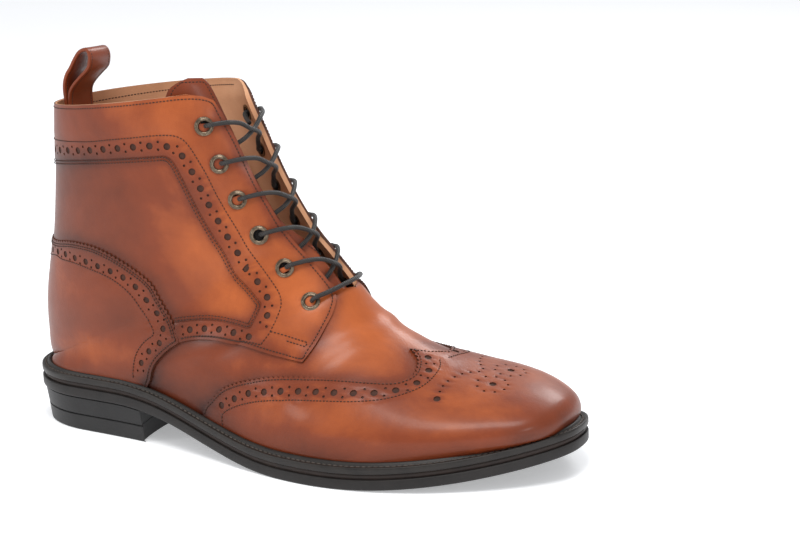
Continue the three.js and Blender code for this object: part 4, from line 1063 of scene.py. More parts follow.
def build_facing(side, name, node_name):
    window = resample(WINDOW_LINE, STITCH_PITCH)
    window_rows = [beside(window, -0.9), beside(window, -0.9 - ROW_SPACING)]
    outer_row = resample(BAND_OUTER, STITCH_PITCH)
    strip_end = outside_counter(resample([(9.57, 0.46), (10.1, 0.492), (10.46, 0.511), (10.8, 0.541),
                                          (11.02, 0.571), (11.09, 0.604)], STITCH_PITCH))
    front_edge = resample(COLLAR_LINE + THROAT_LINE + FACING_BOTTOM, STITCH_PITCH)
    edge_row = outside_counter(beside(front_edge, STITCH_INSET))
    window_rows = [outside_counter(row) for row in window_rows]
    holes = punched_band(BAND_OUTER, WINDOW_LINE[:4:-1], start=0.35, skip_end=4.0)
    holes += holes_along(resample(STRIP_CENTRE, 0.6), pitch=8.6, start=0.3)
    holes = [(t, v, r) for t, v, r in holes if v < 0.995]
    for t, v in EYELETS:
        holes.append((t, v, EYELET_OPENING))
    holes = [(t, side * v, r) for t, v, r in holes]
    single = resample(SEAM_ABOVE_CORNER, STITCH_PITCH)
    tack = resample(BAR_TACK, STITCH_PITCH)
    tack_side = beside(tack, 2.2)
    tack_end = np.stack([tack[-1], tack_side[-1]])
    rows = [outer_row, *window_rows, edge_row, single, tack, tack_side, strip_end]
    obj = panel(name, facing_outline(side), FACING_TOP, FACING_TOP, holes,
                [LEATHER, CUT_EDGE_AND_PIN_SHADE, HOLE_SHADE_FLOOR], grooves=[g * [1, side] for g in rows if len(g) > 1],
                open_edge=at_back)
    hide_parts(node_name)
    rows.append(tack_end)
    thread = stitches(name + "_stitches", [g * [1, side] for g in rows], FACING_TOP - 0.05, THREAD)
    return obj


def build_quarter(side, name):
    """The plain leather of the quarter's window, one layer above the vamp."""
    line = [(19.0, 1.0), (18.95, 0.6), (18.85, 0.36), (18.55, 0.28), (17.8, 0.238), (16.3, 0.212),
            (14.6, 0.192),
            (12.7, 0.19), (11.9, 0.207), (11.2, 0.232), (10.7, 0.268), (10.3, 0.325), (10.0, 0.385),
            (9.8, 0.44), (10.1, 0.475), (10.7, 0.505), (11.15, 0.55), (11.2, 0.62), (11.1, 0.7),
            (10.9, 0.78), (10.65, 0.86), (10.3, 0.94), (10.2, 1.0)]
    outline = resample(line, 1.6) * [1, side]
    obj = panel(name, outline, QUARTER_TOP, QUARTER_TOP, [], [LEATHER, CUT_EDGE_AND_PIN_SHADE, HOLE_SHADE_FLOOR],
                open_edge=at_back)
    return obj


def build_counter(side):
    name = "counter_lateral" if side < 0 else "counter_medial"
    top_edge = gimped(COUNTER_TOP, COUNTER_SIDE)
    front_line = COUNTER_TOP[-1:] + COUNTER_FRONT
    front = resample(front_line, BEND_STEP)
    seam = np.stack([np.linspace(10.0, 16.75, 90), np.ones(90)], -1)
    outline = np.vstack([top_edge, front[1:], seam[1:-1]]) * [1, side]
    top_line = resample(COUNTER_TOP, STITCH_PITCH)
    first_row = beside(top_line, COUNTER_SIDE * (GIMP_HEIGHT + 0.8))
    second_row = beside(top_line, COUNTER_SIDE * (GIMP_HEIGHT + 0.8 + ROW_SPACING * 0.8))
    lower_row = resample(COUNTER_STITCH, STITCH_PITCH)
    front_row = beside(resample(front_line, STITCH_PITCH), COUNTER_SIDE * STITCH_INSET)
    holes = holes_along(resample(COUNTER_CENTRE, 0.6), pitch=8.4, start=0.5)
    holes = [(t, side * v, r * 0.95) for t, v, r in holes if v < 0.99]
    rows = [first_row, lower_row, front_row]
    obj = panel(name, outline, COUNTER_TOP_HEIGHT, COUNTER_TOP_HEIGHT, holes, [LEATHER, CUT_EDGE_AND_PIN_SHADE, HOLE_SHADE_FLOOR],
                grooves=[g * [1, side] for g in rows], open_edge=at_back)
    if side < 0:
        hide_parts("heel_counter")
    thread = stitches(name + "_stitches", [g * [1, side] for g in rows + [second_row]],
                      COUNTER_TOP_HEIGHT - 0.05, THREAD)
    return obj


MEDALLION_AXIS = 0.035
MEDALLION_BIG = [(4.80, -0.415), (3.97, -0.118)]
MEDALLION_SMALL = [
    (4.89, -0.343), (4.94, -0.283), (4.95, -0.221), (4.91, -0.157), (4.83, -0.096), (4.71, -0.042),
    (4.56, 0.004)]
RING_HOLES = 9
RING_RADIUS = 7.4
HOLE_APART = 2.4


def medallion():
    """Punched toe pattern: a curled trail and a ringed hole on each side of the toe's axis."""
    holes = []
    centre_t, centre_u = MEDALLION_BIG[1]
    ring = []
    for k in range(RING_HOLES):
        angle = 2 * math.pi * k / RING_HOLES
        t, u = shifted(centre_t, centre_u, RING_RADIUS * math.cos(angle), RING_RADIUS * math.sin(angle))
        ring.append((float(t), float(u)))
    for t, u in MEDALLION_BIG:
        holes += [(t, u, HOLE_RADIUS), (t, 2 * MEDALLION_AXIS - u, HOLE_RADIUS)]
    small = MEDALLION_SMALL + ring
    for t, u in small:
        holes += [(t, u, PIN_RADIUS), (t, 2 * MEDALLION_AXIS - u, PIN_RADIUS)]
    kept = []
    for t, u, r in holes:
        here = look_up(GRID, np.array(t), np.array(u))
        near = [np.linalg.norm(look_up(GRID, np.array(a), np.array(b)) - here) for a, b, _ in kept]
        if not near or min(near) > HOLE_APART:
            kept.append((t, u, r))
    return kept


def build_wing():
    lateral_line = [(t, -v) for t, v in WING_EDGE] + WING_PEAK
    medial_line = [WING_PEAK[-1]] + WING_FAR
    lateral = gimped(lateral_line, WING_SIDE)
    medial = gimped(medial_line, WING_SIDE)
    toe_end = 0.05
    lateral_low = np.stack([np.linspace(toe_end, 8.85, 130), np.full(130, -1.0)], -1)
    medial_low = np.stack([np.linspace(8.85, toe_end, 130), np.full(130, 1.0)], -1)
    tip = np.stack([np.full(13, toe_end), np.linspace(1, -1, 13)], -1)[1:-1]
    outline = np.vstack([lateral, medial[1:], medial_low[1:], tip, lateral_low[:-1]])
    first_row = beside(resample(lateral_line + WING_FAR, STITCH_PITCH), WING_SIDE * (GIMP_HEIGHT + 0.8))
    lower_near = resample([(t, -v) for t, v in WING_STITCH], STITCH_PITCH)
    lower_far = resample(WING_STITCH[:-2] + [(5.38, 0.16), (5.42, 0.09), (5.48, 0.02)], STITCH_PITCH)
    holes = [(t, -v, r) for t, v, r in holes_along(resample(WING_CENTRE, 0.6), pitch=9.6, start=0.4)]
    holes += holes_along(resample(WING_CENTRE[:-2] + [(5.55, 0.15)], 0.6), pitch=9.6, start=0.4)
    holes += medallion()
    grooves = [first_row, lower_near, lower_far]
    obj = panel("wing_cap", outline, FACING_TOP, FACING_TOP, holes, [LEATHER, CUT_EDGE_AND_PIN_SHADE, HOLE_SHADE_FLOOR],
                grooves=grooves, step=1.8)
    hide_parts("toe_cap")
    thread = stitches("wing_stitches", grooves, FACING_TOP - 0.08, THREAD)
    return obj


# The sole's layers
def outline_loop(inset, height, count=150):
    """Places round the sole at an inset, which may change along it."""
    share = (1 - np.cos(np.linspace(0, np.pi, count))) / 2
    loops = []
    for side in (-1, 1):
        amount = inset(share * OUTSOLE_LENGTH) if callable(inset) else np.full(count, float(inset))
        x = amount + share * (OUTSOLE_LENGTH - 2 * amount)
        y = centre_line(x) + side * (half_width(share, side) - amount) * end_cap(share)
        z = height(x) if callable(height) else underside(x) + height
        loops.append(np.stack([x - ORIGIN_X, y, z], -1))
    return np.vstack([loops[0], loops[1][1:-1][::-1]])


def stack_loops(name, loops, material, ring=False, sharp=38):
    """A sole layer from loops, closed at its ends, or a ring whose last loop joins the first."""
    count = len(loops[0])
    half = (count + 2) // 2
    verts = np.vstack(loops)
    faces = []
    pairs = list(zip(range(len(loops)), range(1, len(loops))))
    if ring:
        pairs.append((len(loops) - 1, 0))
    for low, high in pairs:
        for j in range(count):
            n = (j + 1) % count
            faces.append((low * count + j, low * count + n, high * count + n, high * count + j))

    def close(start, up):
        def opposite(i):
            return start + i if i in (0, half - 1) else start + count - i
        for i in range(half - 1):
            quad = [start + i, start + i + 1, opposite(i + 1), opposite(i)]
            quad = list(dict.fromkeys(quad))
            faces.append(tuple(quad) if up else tuple(reversed(quad)))

    if not ring:
        close(0, False)
        close((len(loops) - 1) * count, True)
    return make_object(name, verts, faces, [material], sharp=sharp)


def build_sole():
    edge = 0.6
    low = OUTSOLE_THICKNESS
    outsole = stack_loops("outsole_rubber", [
        outline_loop(1.4, 0.0), outline_loop(edge, 0.12), outline_loop(0.15, 0.5), outline_loop(0, 1.1),
        outline_loop(0, low - 0.5), outline_loop(0.18, low - 0.1), outline_loop(0.6, low)],
        LAYER_RUBBER, sharp=60)
    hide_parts("outsole")
    start = low + GAP
    midsole = stack_loops("midsole_layer", [
        outline_loop(1.3, low + 0.02), outline_loop(MIDSOLE_RECESS - 0.5, start + 0.3),
        outline_loop(MIDSOLE_RECESS - 0.7, start + MIDSOLE_THICKNESS / 2),
        outline_loop(MIDSOLE_RECESS - 0.5, start + MIDSOLE_THICKNESS),
        outline_loop(1.6, start + MIDSOLE_THICKNESS + GAP)], MIDSOLE_RUBBER, sharp=60)
    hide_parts("midsole")
    bottom = start + MIDSOLE_THICKNESS + GAP
    top = SOLE_THICKNESS

    def at(distance):
        return lambda x: welt_width(x) * distance

    def beneath_wall(x):
        return welt_width(x) + WALL

    welt = stack_loops("stitched_welt", [
        outline_loop(0.5, bottom), outline_loop(0.1, bottom + 0.25), outline_loop(0, bottom + 0.7),
        outline_loop(0, top - 1.2), outline_loop(0.12, top - 0.35), outline_loop(0.5, top - 0.05),
        outline_loop(at(0.20), top), outline_loop(at(0.28), top - 0.55), outline_loop(at(0.42), top - 0.6),
        outline_loop(at(0.48), top - 0.1), outline_loop(at(0.54), top + 0.75),
        outline_loop(at(0.62), top + 1.15), outline_loop(at(0.72), top + 1.1),
        outline_loop(at(0.82), top + 0.5), outline_loop(at(0.9), top + 0.1),
        outline_loop(beneath_wall, top), outline_loop(beneath_wall, bottom)],
        WELT_RUBBER, ring=True, sharp=60)
    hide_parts("welt")
    path = outline_loop(at(0.35), top - 0.42, 700)
    path = np.vstack([path, path[:1]])
    run = np.concatenate([[0], np.cumsum(np.linalg.norm(np.diff(path, axis=0), axis=1))])
    count = int(run[-1] / 2.9)
    at_run = np.linspace(0, run[-1], count + 1)
    place = np.stack([np.interp(at_run, run, path[:, k]) for k in range(3)], -1)
    up = np.tile([0.0, 0.0, 1.0], (len(place), 1))
    verts, faces = capsules([], [], place, up, 2.45, 0.95)
    thread = make_object("welt_stitches", verts, faces, [WELT_THREAD])
    bead = outline_loop(at(0.80), top + 0.55, 700)
    bead = np.vstack([bead, bead[:1]])
    run = np.concatenate([[0], np.cumsum(np.linalg.norm(np.diff(bead, axis=0), axis=1))])
    at_run = np.linspace(0, run[-1], int(run[-1] / 2.2) + 1)
    place = np.stack([np.interp(at_run, run, bead[:, k]) for k in range(3)], -1)
    verts, faces = capsules([], [], place, np.tile([0.0, 0.0, 1.0], (len(place), 1)), 1.7, 0.5)
    thread = make_object("bead_stitches", verts, faces, [THREAD])


def heel_loop(inset, height, count=70):
    """The heel's outline: the sole's own outline, then the hollow breast across it."""
    end = HEEL_LENGTH / OUTSOLE_LENGTH
    share = end * (1 - np.cos(np.linspace(0, np.pi / 2, count)))
    points = []
    for side in (-1, 1):
        x = inset + share * (OUTSOLE_LENGTH - 2 * inset)
        y = centre_line(x) + side * (half_width(share, side) - inset) * end_cap(share)
        points.append(np.stack([x, y], -1))
    radius = (BALL_WIDTH / 3) ** 2 / (2 * BREAST_DEPTH)
    centre_x = HEEL_LENGTH - BREAST_DEPTH + radius
    low_y, high_y = points[0][-1, 1], points[1][-1, 1]
    breast_y = np.linspace(low_y, high_y, 30)[1:-1]
    breast_x = np.minimum(centre_x - np.sqrt(np.maximum(radius**2 - breast_y**2, 0)), points[0][-1, 0])
    loop = np.vstack([points[0], np.stack([breast_x, breast_y], -1), points[1][::-1][:-1]])
    z = height(loop[:, 0]) if callable(height) else np.full(len(loop), float(height))
    return np.column_stack([loop[:, 0] - ORIGIN_X, loop[:, 1], z])


def loops_to_piece(name, loops, material, sharp=40):
    count = len(loops[0])
    verts = np.vstack(loops)
    faces = []
    for k in range(len(loops) - 1):
        for j in range(count):
            n = (j + 1) % count
            faces.append((k * count + j, k * count + n, (k + 1) * count + n, (k + 1) * count + j))
    faces.append(tuple(reversed(range(count))))
    faces.append(tuple((len(loops) - 1) * count + j for j in range(count)))
    return make_object(name, verts, faces, [material], sharp=sharp)


def build_heel():
    block_low = 1 + HEEL_TAPER * 0.6
    block_high = 1.0
    base = TOP_LIFT + GAP

    def line(share, inset, dz=0.0):
        return heel_loop(inset, lambda x: base + (underside(x) - GAP - base) * share + dz)

    loops = [heel_loop(block_low + 0.4, base), heel_loop(block_low, base + 0.35)]
    loops += [line(1.0, block_high, -0.35), line(1.0, block_high + 0.4)]
    block = loops_to_piece("heel_stack", loops, RUBBER)
    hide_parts("heel_block")
    lift_low = 1 + HEEL_TAPER
    lift = loops_to_piece("heel_lift", [
        heel_loop(lift_low + 0.7, 0.0), heel_loop(lift_low + 0.1, 0.5),
        heel_loop(block_low + 0.05, TOP_LIFT - 0.4), heel_loop(block_low + 0.45, TOP_LIFT)], RUBBER)
    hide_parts("heel_top_lift")


def build_insole():
    """The sock: a padded leather sheet with a rolled edge over the insole's solid."""
    inset = lambda extra: (lambda x: welt_width(x) + WALL + 1.2 + extra)
    top = SOLE_THICKNESS + 2.2
    sock = stack_loops("insole_sock", [
        outline_loop(inset(0.0), SOLE_THICKNESS - WELT_THICKNESS), outline_loop(inset(0.0), top - 0.7),
        outline_loop(inset(0.3), top - 0.2), outline_loop(inset(1.2), top),
        outline_loop(inset(6), top + 0.05)],
        SOCK, sharp=60)
    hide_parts("insole")


# Tongue: section, lateral edge, medial edge, depth share
TONGUE = np.array([[9.2, -0.20, 0.17, 0.1], [9.8, -0.23, 0.18, 0.2], [10.5, -0.28, 0.15, 1],
                   [12, -0.33, 0.03, 1], [14, -0.35, -0.06, 1], [16, -0.35, -0.07, 1], [18, -0.33, -0.07, 1],
                   [19.4, -0.31, -0.07, 1], [20.1, -0.275, -0.075, 1], [20.4, -0.225, -0.083, 1],
                   [20.58, -0.17, -0.10, 1]])
TONGUE_THICKNESS = 2.0
LACE_ROOM = 3.7


def build_tongue():
    rows, columns = 110, 40
    scale = np.array([12.0, 95.0, 95.0, 0.01])
    t, left, right, share = (spline(TONGUE * scale, rows) / scale).T
    share = np.clip(share, 0, 1)
    tt = np.repeat(t[:, None], columns, 1)
    s = np.linspace(0, 1, columns)[None, :]
    uu = left[:, None] + (right - left)[:, None] * s
    edge = np.minimum(np.minimum(s, 1 - s) * 8, 1)
    end = np.clip((t[-1] - tt) / 0.25, 0, 1)
    depth = -(WALL + 3 * GAP + LACE_ROOM * share)[:, None] + 0 * uu
    round_off = 0.5 * (1 - np.sqrt(np.clip(np.minimum(edge, end), 0, 1)))
    wave = 0.5 * np.sin(tt * 2.4 + 1.0) * np.exp(-((uu + 0.02) / 0.07) ** 2) * (tt < 19)
    face = on(tt, uu, depth - round_off + wave)
    back = on(tt, uu, depth - TONGUE_THICKNESS + round_off + wave)
    number = np.arange(rows * columns).reshape(rows, columns)
    verts = np.concatenate([face.reshape(-1, 3), back.reshape(-1, 3)])
    total = rows * columns
    faces, slots = [], []
    for i in range(rows - 1):
        for j in range(columns - 1):
            quad = (number[i, j], number[i, j + 1], number[i + 1, j + 1], number[i + 1, j])
            faces.append(quad)
            slots.append(0)
            faces.append(tuple(q + total for q in reversed(quad)))
            slots.append(1)
    border = ([number[0, j] for j in range(columns)] + [number[i, -1] for i in range(1, rows)]
              + [number[-1, j] for j in reversed(range(columns - 1))]
              + [number[i, 0] for i in reversed(range(1, rows - 1))])
    for a, b in zip(border, border[1:] + border[:1]):
        faces.append((b, a, a + total, b + total))
        slots.append(2)
    # Burnish and painted shade over the tongue, darker towards its sides
    burnish_and_shade = 0.35 + 0.3 * np.concatenate([1 - edge.repeat(rows, 0).reshape(-1)] * 2)
    tongue = make_object("tongue_leather", verts, faces, [LEATHER, LINING, CUT_EDGE_AND_PIN_SHADE], slots, burnish_and_shade=burnish_and_shade,
                         sharp=55)
    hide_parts("tongue")
    inset = 0.02
    upper_part = slice(30, rows - 5)
    rim_t = np.concatenate([t[upper_part], np.full(8, t[-1] - 0.16), t[upper_part][::-1]])
    left_rim, right_rim = left[upper_part] + inset, right[upper_part] - inset
    rim_u = np.concatenate([left_rim, np.linspace(left_rim[-1], right_rim[-1], 8), right_rim[::-1]])
    place = on(rim_t, rim_u, -(WALL + 3 * GAP + LACE_ROOM) - 0.05)
    normal = look_up(NORMALS, rim_t, rim_u)
    run = np.concatenate([[0], np.cumsum(np.linalg.norm(np.diff(place, axis=0), axis=1))])
    at_run = np.linspace(0, run[-1], int(run[-1] / STITCH_PITCH))
    place = np.stack([np.interp(at_run, run, place[:, k]) for k in range(3)], -1)
    normal = np.stack([np.interp(at_run, run, normal[:, k]) for k in range(3)], -1)
    verts, faces = capsules([], [], place, normal, STITCH_LENGTH, STITCH_THICKNESS)
    thread = make_object("tongue_stitches", verts, faces, [THREAD])


def spline(points, count):
    """Smooth curve through points, evenly spaced."""
    pts = np.asarray(points, dtype=float)
    n = len(pts)
    fine = np.linspace(0, n - 1, 30 * (n - 1) + 1)
    i = np.clip(fine.astype(int), 0, n - 2)
    s = (fine - i)[:, None]
    a, b = pts[i], pts[i + 1]
    before = np.where((i > 0)[:, None], pts[np.maximum(i - 1, 0)], 2 * a - b)
    after = np.where((i < n - 2)[:, None], pts[np.minimum(i + 2, n - 1)], 2 * b - a)
    curve = 0.5 * (2 * a + (b - before) * s + (2 * before - 5 * a + 4 * b - after) * s**2
                   + (3 * a - before - 3 * b + after) * s**3)
    run = np.concatenate([[0], np.cumsum(np.linalg.norm(np.diff(curve, axis=0), axis=1))])
    at = np.linspace(0, run[-1], count)
    return np.stack([np.interp(at, run, curve[:, k]) for k in range(curve.shape[1])], -1)


def tube(verts, faces, path, radius, sides=12):
    """Adds a round tube along a path."""
    ahead = np.gradient(path, axis=0)
    ahead = ahead / np.linalg.norm(ahead, axis=1, keepdims=True)
    up = np.array([0.0, 0.0, 1.0])
    start = len(verts)
    for point, forward in zip(path, ahead):
        up = up - (up @ forward) * forward
        up = up / np.linalg.norm(up)
        right = np.cross(forward, up)
        for k in range(sides):
            angle = 2 * math.pi * k / sides
            verts.append(point + radius * (right * math.cos(angle) + up * math.sin(angle)))
    for i in range(len(path) - 1):
        for k in range(sides):
            a = start + i * sides + k
            b = start + i * sides + (k + 1) % sides
            faces.append((a, b, b + sides, a + sides))
    faces.append(tuple(start + k for k in reversed(range(sides))))
    faces.append(tuple(start + (len(path) - 1) * sides + k for k in range(sides)))


EYELET_SEAT = FACING_TOP + GAP / 2


def build_laces():
    """One lace: over each facing edge, down the gap, under the other facing and out of the next eyelet."""
    over = EYELET_SEAT + 1.5 + LACE_DIAMETER / 2
    edge_height = FACING_TOP + 0.2 + LACE_DIAMETER / 2
    under = -(WALL + 1.2 + LACE_DIAMETER / 2)

    def place(t, u, height):
        return on(np.array([t]), np.array([u]), np.array([height]))[0]

    def strand(k, side, depth):
        """From eyelet k on one side to eyelet k + 1 on the other."""
        (t, v), (t2, v2) = EYELETS[k], EYELETS[k + 1]
        edge = float(throat_edge((t + t2) / 2 + 0.4))
        mix = lambda s: t + (t2 - t) * s
        return [
            place(t, side * v, under + 1.2),
            place(t, side * (v - 0.004), 0.6),
            place(mix(0.01), side * (v - 0.018), over - 0.1),
            place(mix(0.03), side * (v * 0.45 + edge * 0.55), edge_height + 0.45),
            place(mix(0.08), side * edge * 1.02, edge_height),
            place(mix(0.17), side * edge * 0.62, edge_height * 0.35),
            place(mix(0.34), side * edge * 0.25, depth),
            place(mix(0.52), -side * edge * 0.45, depth + under * 0.35),
            place(mix(0.68), -side * edge * 1.15, under),
            place(mix(0.88), -side * (edge * 0.4 + v2 * 0.6), under),
        ]

    verts, faces = [], []
    for start_side in (1, -1):
        points = []
        side = start_side
        for k in range(len(EYELETS) - 1):
            points += strand(k, side, -0.9 if side < 0 else -2.3)
            side = -side
        t, v = EYELETS[-1]
        points += [place(t, side * v, under + 1.2), place(t, side * (v - 0.004), 0.6)]
        if start_side > 0:
            points += [place(t, side * (v - 0.02), over)]
            points += [place(t, side * v * 0.55, edge_height + 0.5), place(t + 0.02, 0.0, edge_height + 0.1),
                       place(t, -side * v * 0.55, edge_height + 0.5), place(t, -side * (v - 0.02), over),
                       place(t, -side * (v - 0.004), 0.6)]
        head_t, head_v = EYELETS[0]
        tail = [place(head_t - 0.35, start_side * (head_v - 0.05), under - 0.6),
                place(head_t - 0.12, start_side * (head_v - 0.01), under + 0.2)]
        path = spline(tail + points, 620)
        tube(verts, faces, path, LACE_DIAMETER / 2)
    lace = make_object("lace", verts, faces, [LACE])
    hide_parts("lace_crossing_1", "lace_crossing_2", "lace_crossing_3", "lace_crossing_4",
                "lace_crossing_5", "lace_bar")


def eyelet_frame(t, u):
    origin = on(np.array([t]), np.array([u]), np.array([EYELET_SEAT - 0.05]))[0]
    normal = look_up(NORMALS, np.array([t]), np.array([u]))[0]
    along, _ = tangents(np.array([t]), np.array([u]))
    side = np.cross(along[0], normal)
    side = side / np.linalg.norm(side)
    return origin, normal / np.linalg.norm(normal), side, np.cross(normal, side)


def build_eyelets():
    inner = EYELET_HOLE / 2
    outer = EYELET_FLANGE / 2
    profile = [(inner, -3.6), (inner, -0.3), (inner + 0.08, 0.25), (inner + 0.3, 0.62), (inner + 0.7, 0.80),
               (inner + 1.1, 0.74), (inner + 1.35, 0.58), (inner + 1.45, 0.40), (outer - 0.5, 0.34),
               (outer - 0.36, 0.44), (outer - 0.15, 0.40), (outer, 0.16), (outer - 0.02, -0.14),
               (inner + 0.35, -0.18), (inner + 0.35, -3.75), (inner + 1.5, -3.85), (inner + 1.5, -4.1),
               (inner + 0.6, -4.25), (inner + 0.1, -4.1)]
    sides = 40
    for number, (t, v) in enumerate(EYELETS, 1):
        for name, side in (("lateral", -1), ("medial", 1)):
            origin, up, right, forward = eyelet_frame(t, side * v)
            verts, faces = [], []
            for radius, height in profile:
                for k in range(sides):
                    angle = 2 * math.pi * k / sides
                    verts.append(origin + up * height + radius * (right * math.cos(angle)
                                                                  + forward * math.sin(angle)))
            for i in range(len(profile)):
                n = (i + 1) % len(profile)
                for k in range(sides):
                    m = (k + 1) % sides
                    faces.append((i * sides + k, i * sides + m, n * sides + m, n * sides + k))
            slots = [0 if 0 < i < len(profile) - 1 else 1 for i in range(len(profile)) for _ in range(sides)]
            first = len(verts)
            verts += [origin + up * -1.6 + (inner + 0.1) * (right * math.cos(a) + forward * math.sin(a))
                      for a in np.linspace(0, 2 * np.pi, sides, endpoint=False)]
            faces.append(tuple(range(first, first + sides)))
            slots.append(1)
            ring = make_object(f"brass_eyelet_{name}_{number}", verts, faces, [BRASS, EYELET_INSIDE], slots,
                               sharp=50)
            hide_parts(f"eyelet_{name}_{number}")


# Pull loop: its middle line from the back leg over the top, as shares of its lean and its rise
LOOP_PATH = [(-0.02, 0.04), (-0.035, 0.21), (-0.005, 0.355), (0.095, 0.50), (0.255, 0.62), (0.41, 0.76),
             (0.58, 0.888), (0.71, 0.944), (0.86, 0.968), (0.95, 0.944), (1.0, 0.867), (0.995, 0.775),
             (0.905, 0.628), (0.64, 0.488), (0.37, 0.344), (0.19, 0.207)]


def twisted(places, z):
    """Turns the loop's medial edge back and down towards its top."""
    places = np.array(places, dtype=float)
    medial = places[:, 1] / LOOP_WIDTH + 0.5
    height = np.clip((places[:, 2] - z) / LOOP_RISE, 0, 1)
    places[:, 0] -= LOOP_TWIST * medial * height
    places[:, 2] -= LOOP_DROP * medial * height
    return places


def build_pull_loop():
    """The folded strap, with rounded edges and a stitched row along each side."""
    base = on(np.array([20.0]), np.array([1.0]), np.array([0.0]))[0]
    beside_back = on(np.array([20.0]), np.array([0.86]), np.array([-WALL]))[0]
    seam = on(np.array([20.0]), np.array([1.0]), np.array([-WALL]))[0]
    share = LOOP_WIDTH / 2 / abs(beside_back[1])
    x = seam[0] + (beside_back[0] - seam[0]) * share + 2 * GAP + LOOP_THICKNESS / 2
    z = base[2]
    apart = (LOOP_THICKNESS + GAP) / 2
    centre = ([(x, z - LOOP_TAIL), (x, z - LOOP_TAIL / 2)]
              + [(x + LOOP_LEAN * lean, z + LOOP_RISE * rise) for lean, rise in LOOP_PATH]
              + [(x + 2 * apart, z + LOOP_THICKNESS / 2), (x + 2 * apart, z - LOOP_TAIL / 2),
                 (x + 2 * apart, z - LOOP_TAIL)])
    path = spline(centre, 150)
    ahead = np.gradient(path, axis=0)
    ahead = ahead / np.linalg.norm(ahead, axis=1, keepdims=True)
    out = np.stack([-ahead[:, 1], ahead[:, 0]], -1)
    half, thick = LOOP_WIDTH / 2, LOOP_THICKNESS / 2
    corner = 0.55
    section = []
    for cx, cy, start in ((half - corner, thick - corner, 0), (-half + corner, thick - corner, 90),
                          (-half + corner, -thick + corner, 180), (half - corner, -thick + corner, 270)):
        for k in range(4):
            angle = math.radians(start + 30 * k)
            section.append((cx + corner * math.cos(angle), cy + corner * math.sin(angle)))
    verts, faces = [], []
    for point, across in zip(path, out):
        for along_y, lift in section:
            flat = point + across * lift
            verts.append(np.array([flat[0], along_y, flat[1]]))
    count = len(section)
    for i in range(len(path) - 1):
        for k in range(count):
            m = (k + 1) % count
            faces.append((i * count + m, i * count + k, (i + 1) * count + k, (i + 1) * count + m))
    faces.append(tuple(range(count)))
    faces.append(tuple(reversed([(len(path) - 1) * count + k for k in range(count)])))
    verts = twisted(verts, z)
    # Burnish and painted shade over the strap, darker towards its foot at the collar
    shade = 0.30 + 0.25 * smoothstep(z + 14, z, verts[:, 2])
    loop = make_object("pull_strap", verts, faces, [LEATHER], burnish_and_shade=shade, sharp=60)
    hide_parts("pull_loop")
    verts, faces = [], []
    steps = np.linspace(0, 1, int(125 / STITCH_PITCH))
    run = np.linspace(0, 1, len(path))
    for edge in (-1, 1):
        for face in (-1, 1):
            flat = path + out * face * (thick - 0.05)
            place = np.stack([flat[:, 0], np.full(len(flat), edge * (half - 1.8)), flat[:, 1]], -1)
            place = np.stack([np.interp(steps, run, place[:, k]) for k in range(3)], -1)
            normal = np.stack([out[:, 0] * face, np.zeros(len(out)), out[:, 1] * face], -1)
            normal = np.stack([np.interp(steps, run, normal[:, k]) for k in range(3)], -1)
            capsules(verts, faces, place, normal, STITCH_LENGTH, STITCH_THICKNESS)
    thread = make_object("pull_strap_stitches", twisted(verts, z), faces, [THREAD])


# Floor half-size in metres, its own glow, and the strength of the light from all round
FLOOR_HALF = 6.0
FLOOR_GLOW = 0.34
SKY_STRENGTH = 0.62


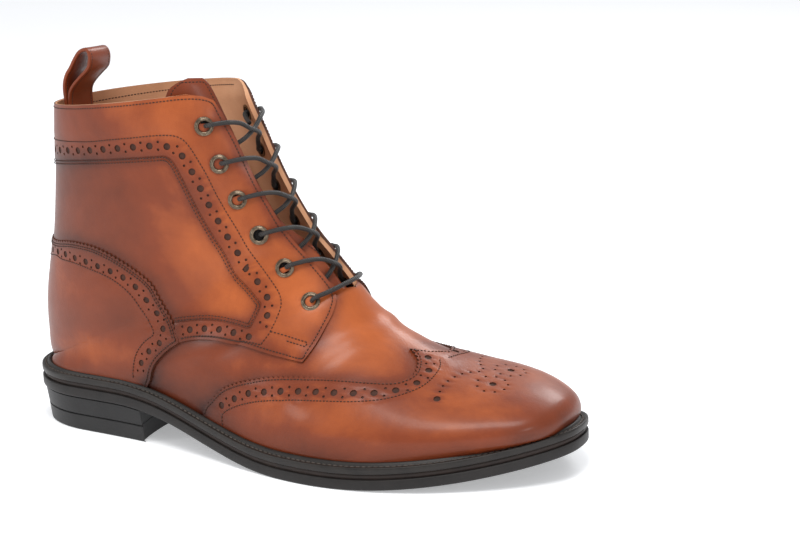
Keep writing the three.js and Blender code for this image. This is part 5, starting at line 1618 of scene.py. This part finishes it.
def build_stage():
    """A pale floor that runs far back, soft lights and the photo's camera."""
    mesh = bpy.data.meshes.new("floor")
    corners = [(-FLOOR_HALF, -FLOOR_HALF, 0), (FLOOR_HALF, -FLOOR_HALF, 0),
               (FLOOR_HALF, FLOOR_HALF, 0), (-FLOOR_HALF, FLOOR_HALF, 0)]
    mesh.from_pydata(corners, [], [(0, 1, 2, 3)])
    floor = bpy.data.objects.new("floor", mesh)
    bpy.context.scene.collection.objects.link(floor)
    material, nodes, _ = new_material("pale_floor")
    surface = nodes["Principled BSDF"]
    surface.inputs["Base Color"].default_value = (0.90, 0.91, 0.93, 1)
    surface.inputs["Roughness"].default_value = 0.9
    surface.inputs["Emission Color"].default_value = (0.98, 0.99, 1.0, 1)
    surface.inputs["Emission Strength"].default_value = FLOOR_GLOW
    mesh.materials.append(material)
    world = bpy.data.worlds.new("studio")
    bpy.context.scene.world = world
    world.use_nodes = True
    world.node_tree.nodes["Background"].inputs["Color"].default_value = (0.97, 0.98, 1.0, 1)
    world.node_tree.nodes["Background"].inputs["Strength"].default_value = SKY_STRENGTH
    bpy.context.scene.view_settings.view_transform = "Standard"
    lights = [
        ("key", (0.30, -0.45, 1.10), 0.55, 7.5, (1.0, 0.99, 0.975)),
        ("front_fill", (1.25, -0.75, 0.45), 0.35, 2.6, (1.0, 0.99, 0.98)),
        ("back_rim", (0.20, 0.95, 0.75), 0.5, 5.0, (1.0, 1.0, 1.0)),
        ("left_fill", (-0.85, -0.85, 0.55), 0.4, 2.6, (1.0, 0.99, 0.975)),
    ]
    aim = Vector((0.08, 0.0, 0.07))
    for name, place, size, power, colour in lights:
        data = bpy.data.lights.new(name, "AREA")
        data.shape = "RECTANGLE"
        data.size = size
        data.size_y = size * 0.7
        data.energy = power
        data.color = colour
        lamp = bpy.data.objects.new(name, data)
        lamp.location = place
        lamp.rotation_euler = (aim - Vector(place)).to_track_quat("-Z", "Y").to_euler()
        bpy.context.scene.collection.objects.link(lamp)
    camera_data = bpy.data.cameras.new("photo_camera")
    camera_data.lens = CAMERA_LENS
    camera_data.sensor_width = SENSOR
    camera_data.clip_end = 50
    camera = bpy.data.objects.new("photo_camera", camera_data)
    azimuth, elevation, roll = (math.radians(a) for a in (CAMERA_AZIMUTH, CAMERA_ELEVATION, CAMERA_ROLL))
    forward = Vector((math.cos(elevation) * math.sin(azimuth), math.cos(elevation) * math.cos(azimuth),
                      math.sin(elevation)))
    right = Vector((math.cos(azimuth), -math.sin(azimuth), 0))
    up = right.cross(forward)
    rolled_right = right * math.cos(roll) + up * math.sin(roll)
    rolled_up = up * math.cos(roll) - right * math.sin(roll)
    turn = Matrix((rolled_right, rolled_up, -forward)).transposed().to_4x4()
    camera.matrix_world = Matrix.Translation(Vector(CAMERA_PLACE) * MM) @ turn
    bpy.context.scene.collection.objects.link(camera)
    bpy.context.scene.camera = camera


def main():
    build_stage()
    build_upper()
    build_quarter(-1, "quarter_lateral")
    build_quarter(1, "quarter_medial")
    build_facing(-1, "facing_panel_lateral", "facing_lateral")
    build_facing(1, "facing_panel_medial", "facing_medial")
    build_counter(-1)
    build_counter(1)
    build_wing()
    build_sole()
    build_heel()
    build_insole()
    build_tongue()
    build_laces()
    build_eyelets()
    build_pull_loop()


main()
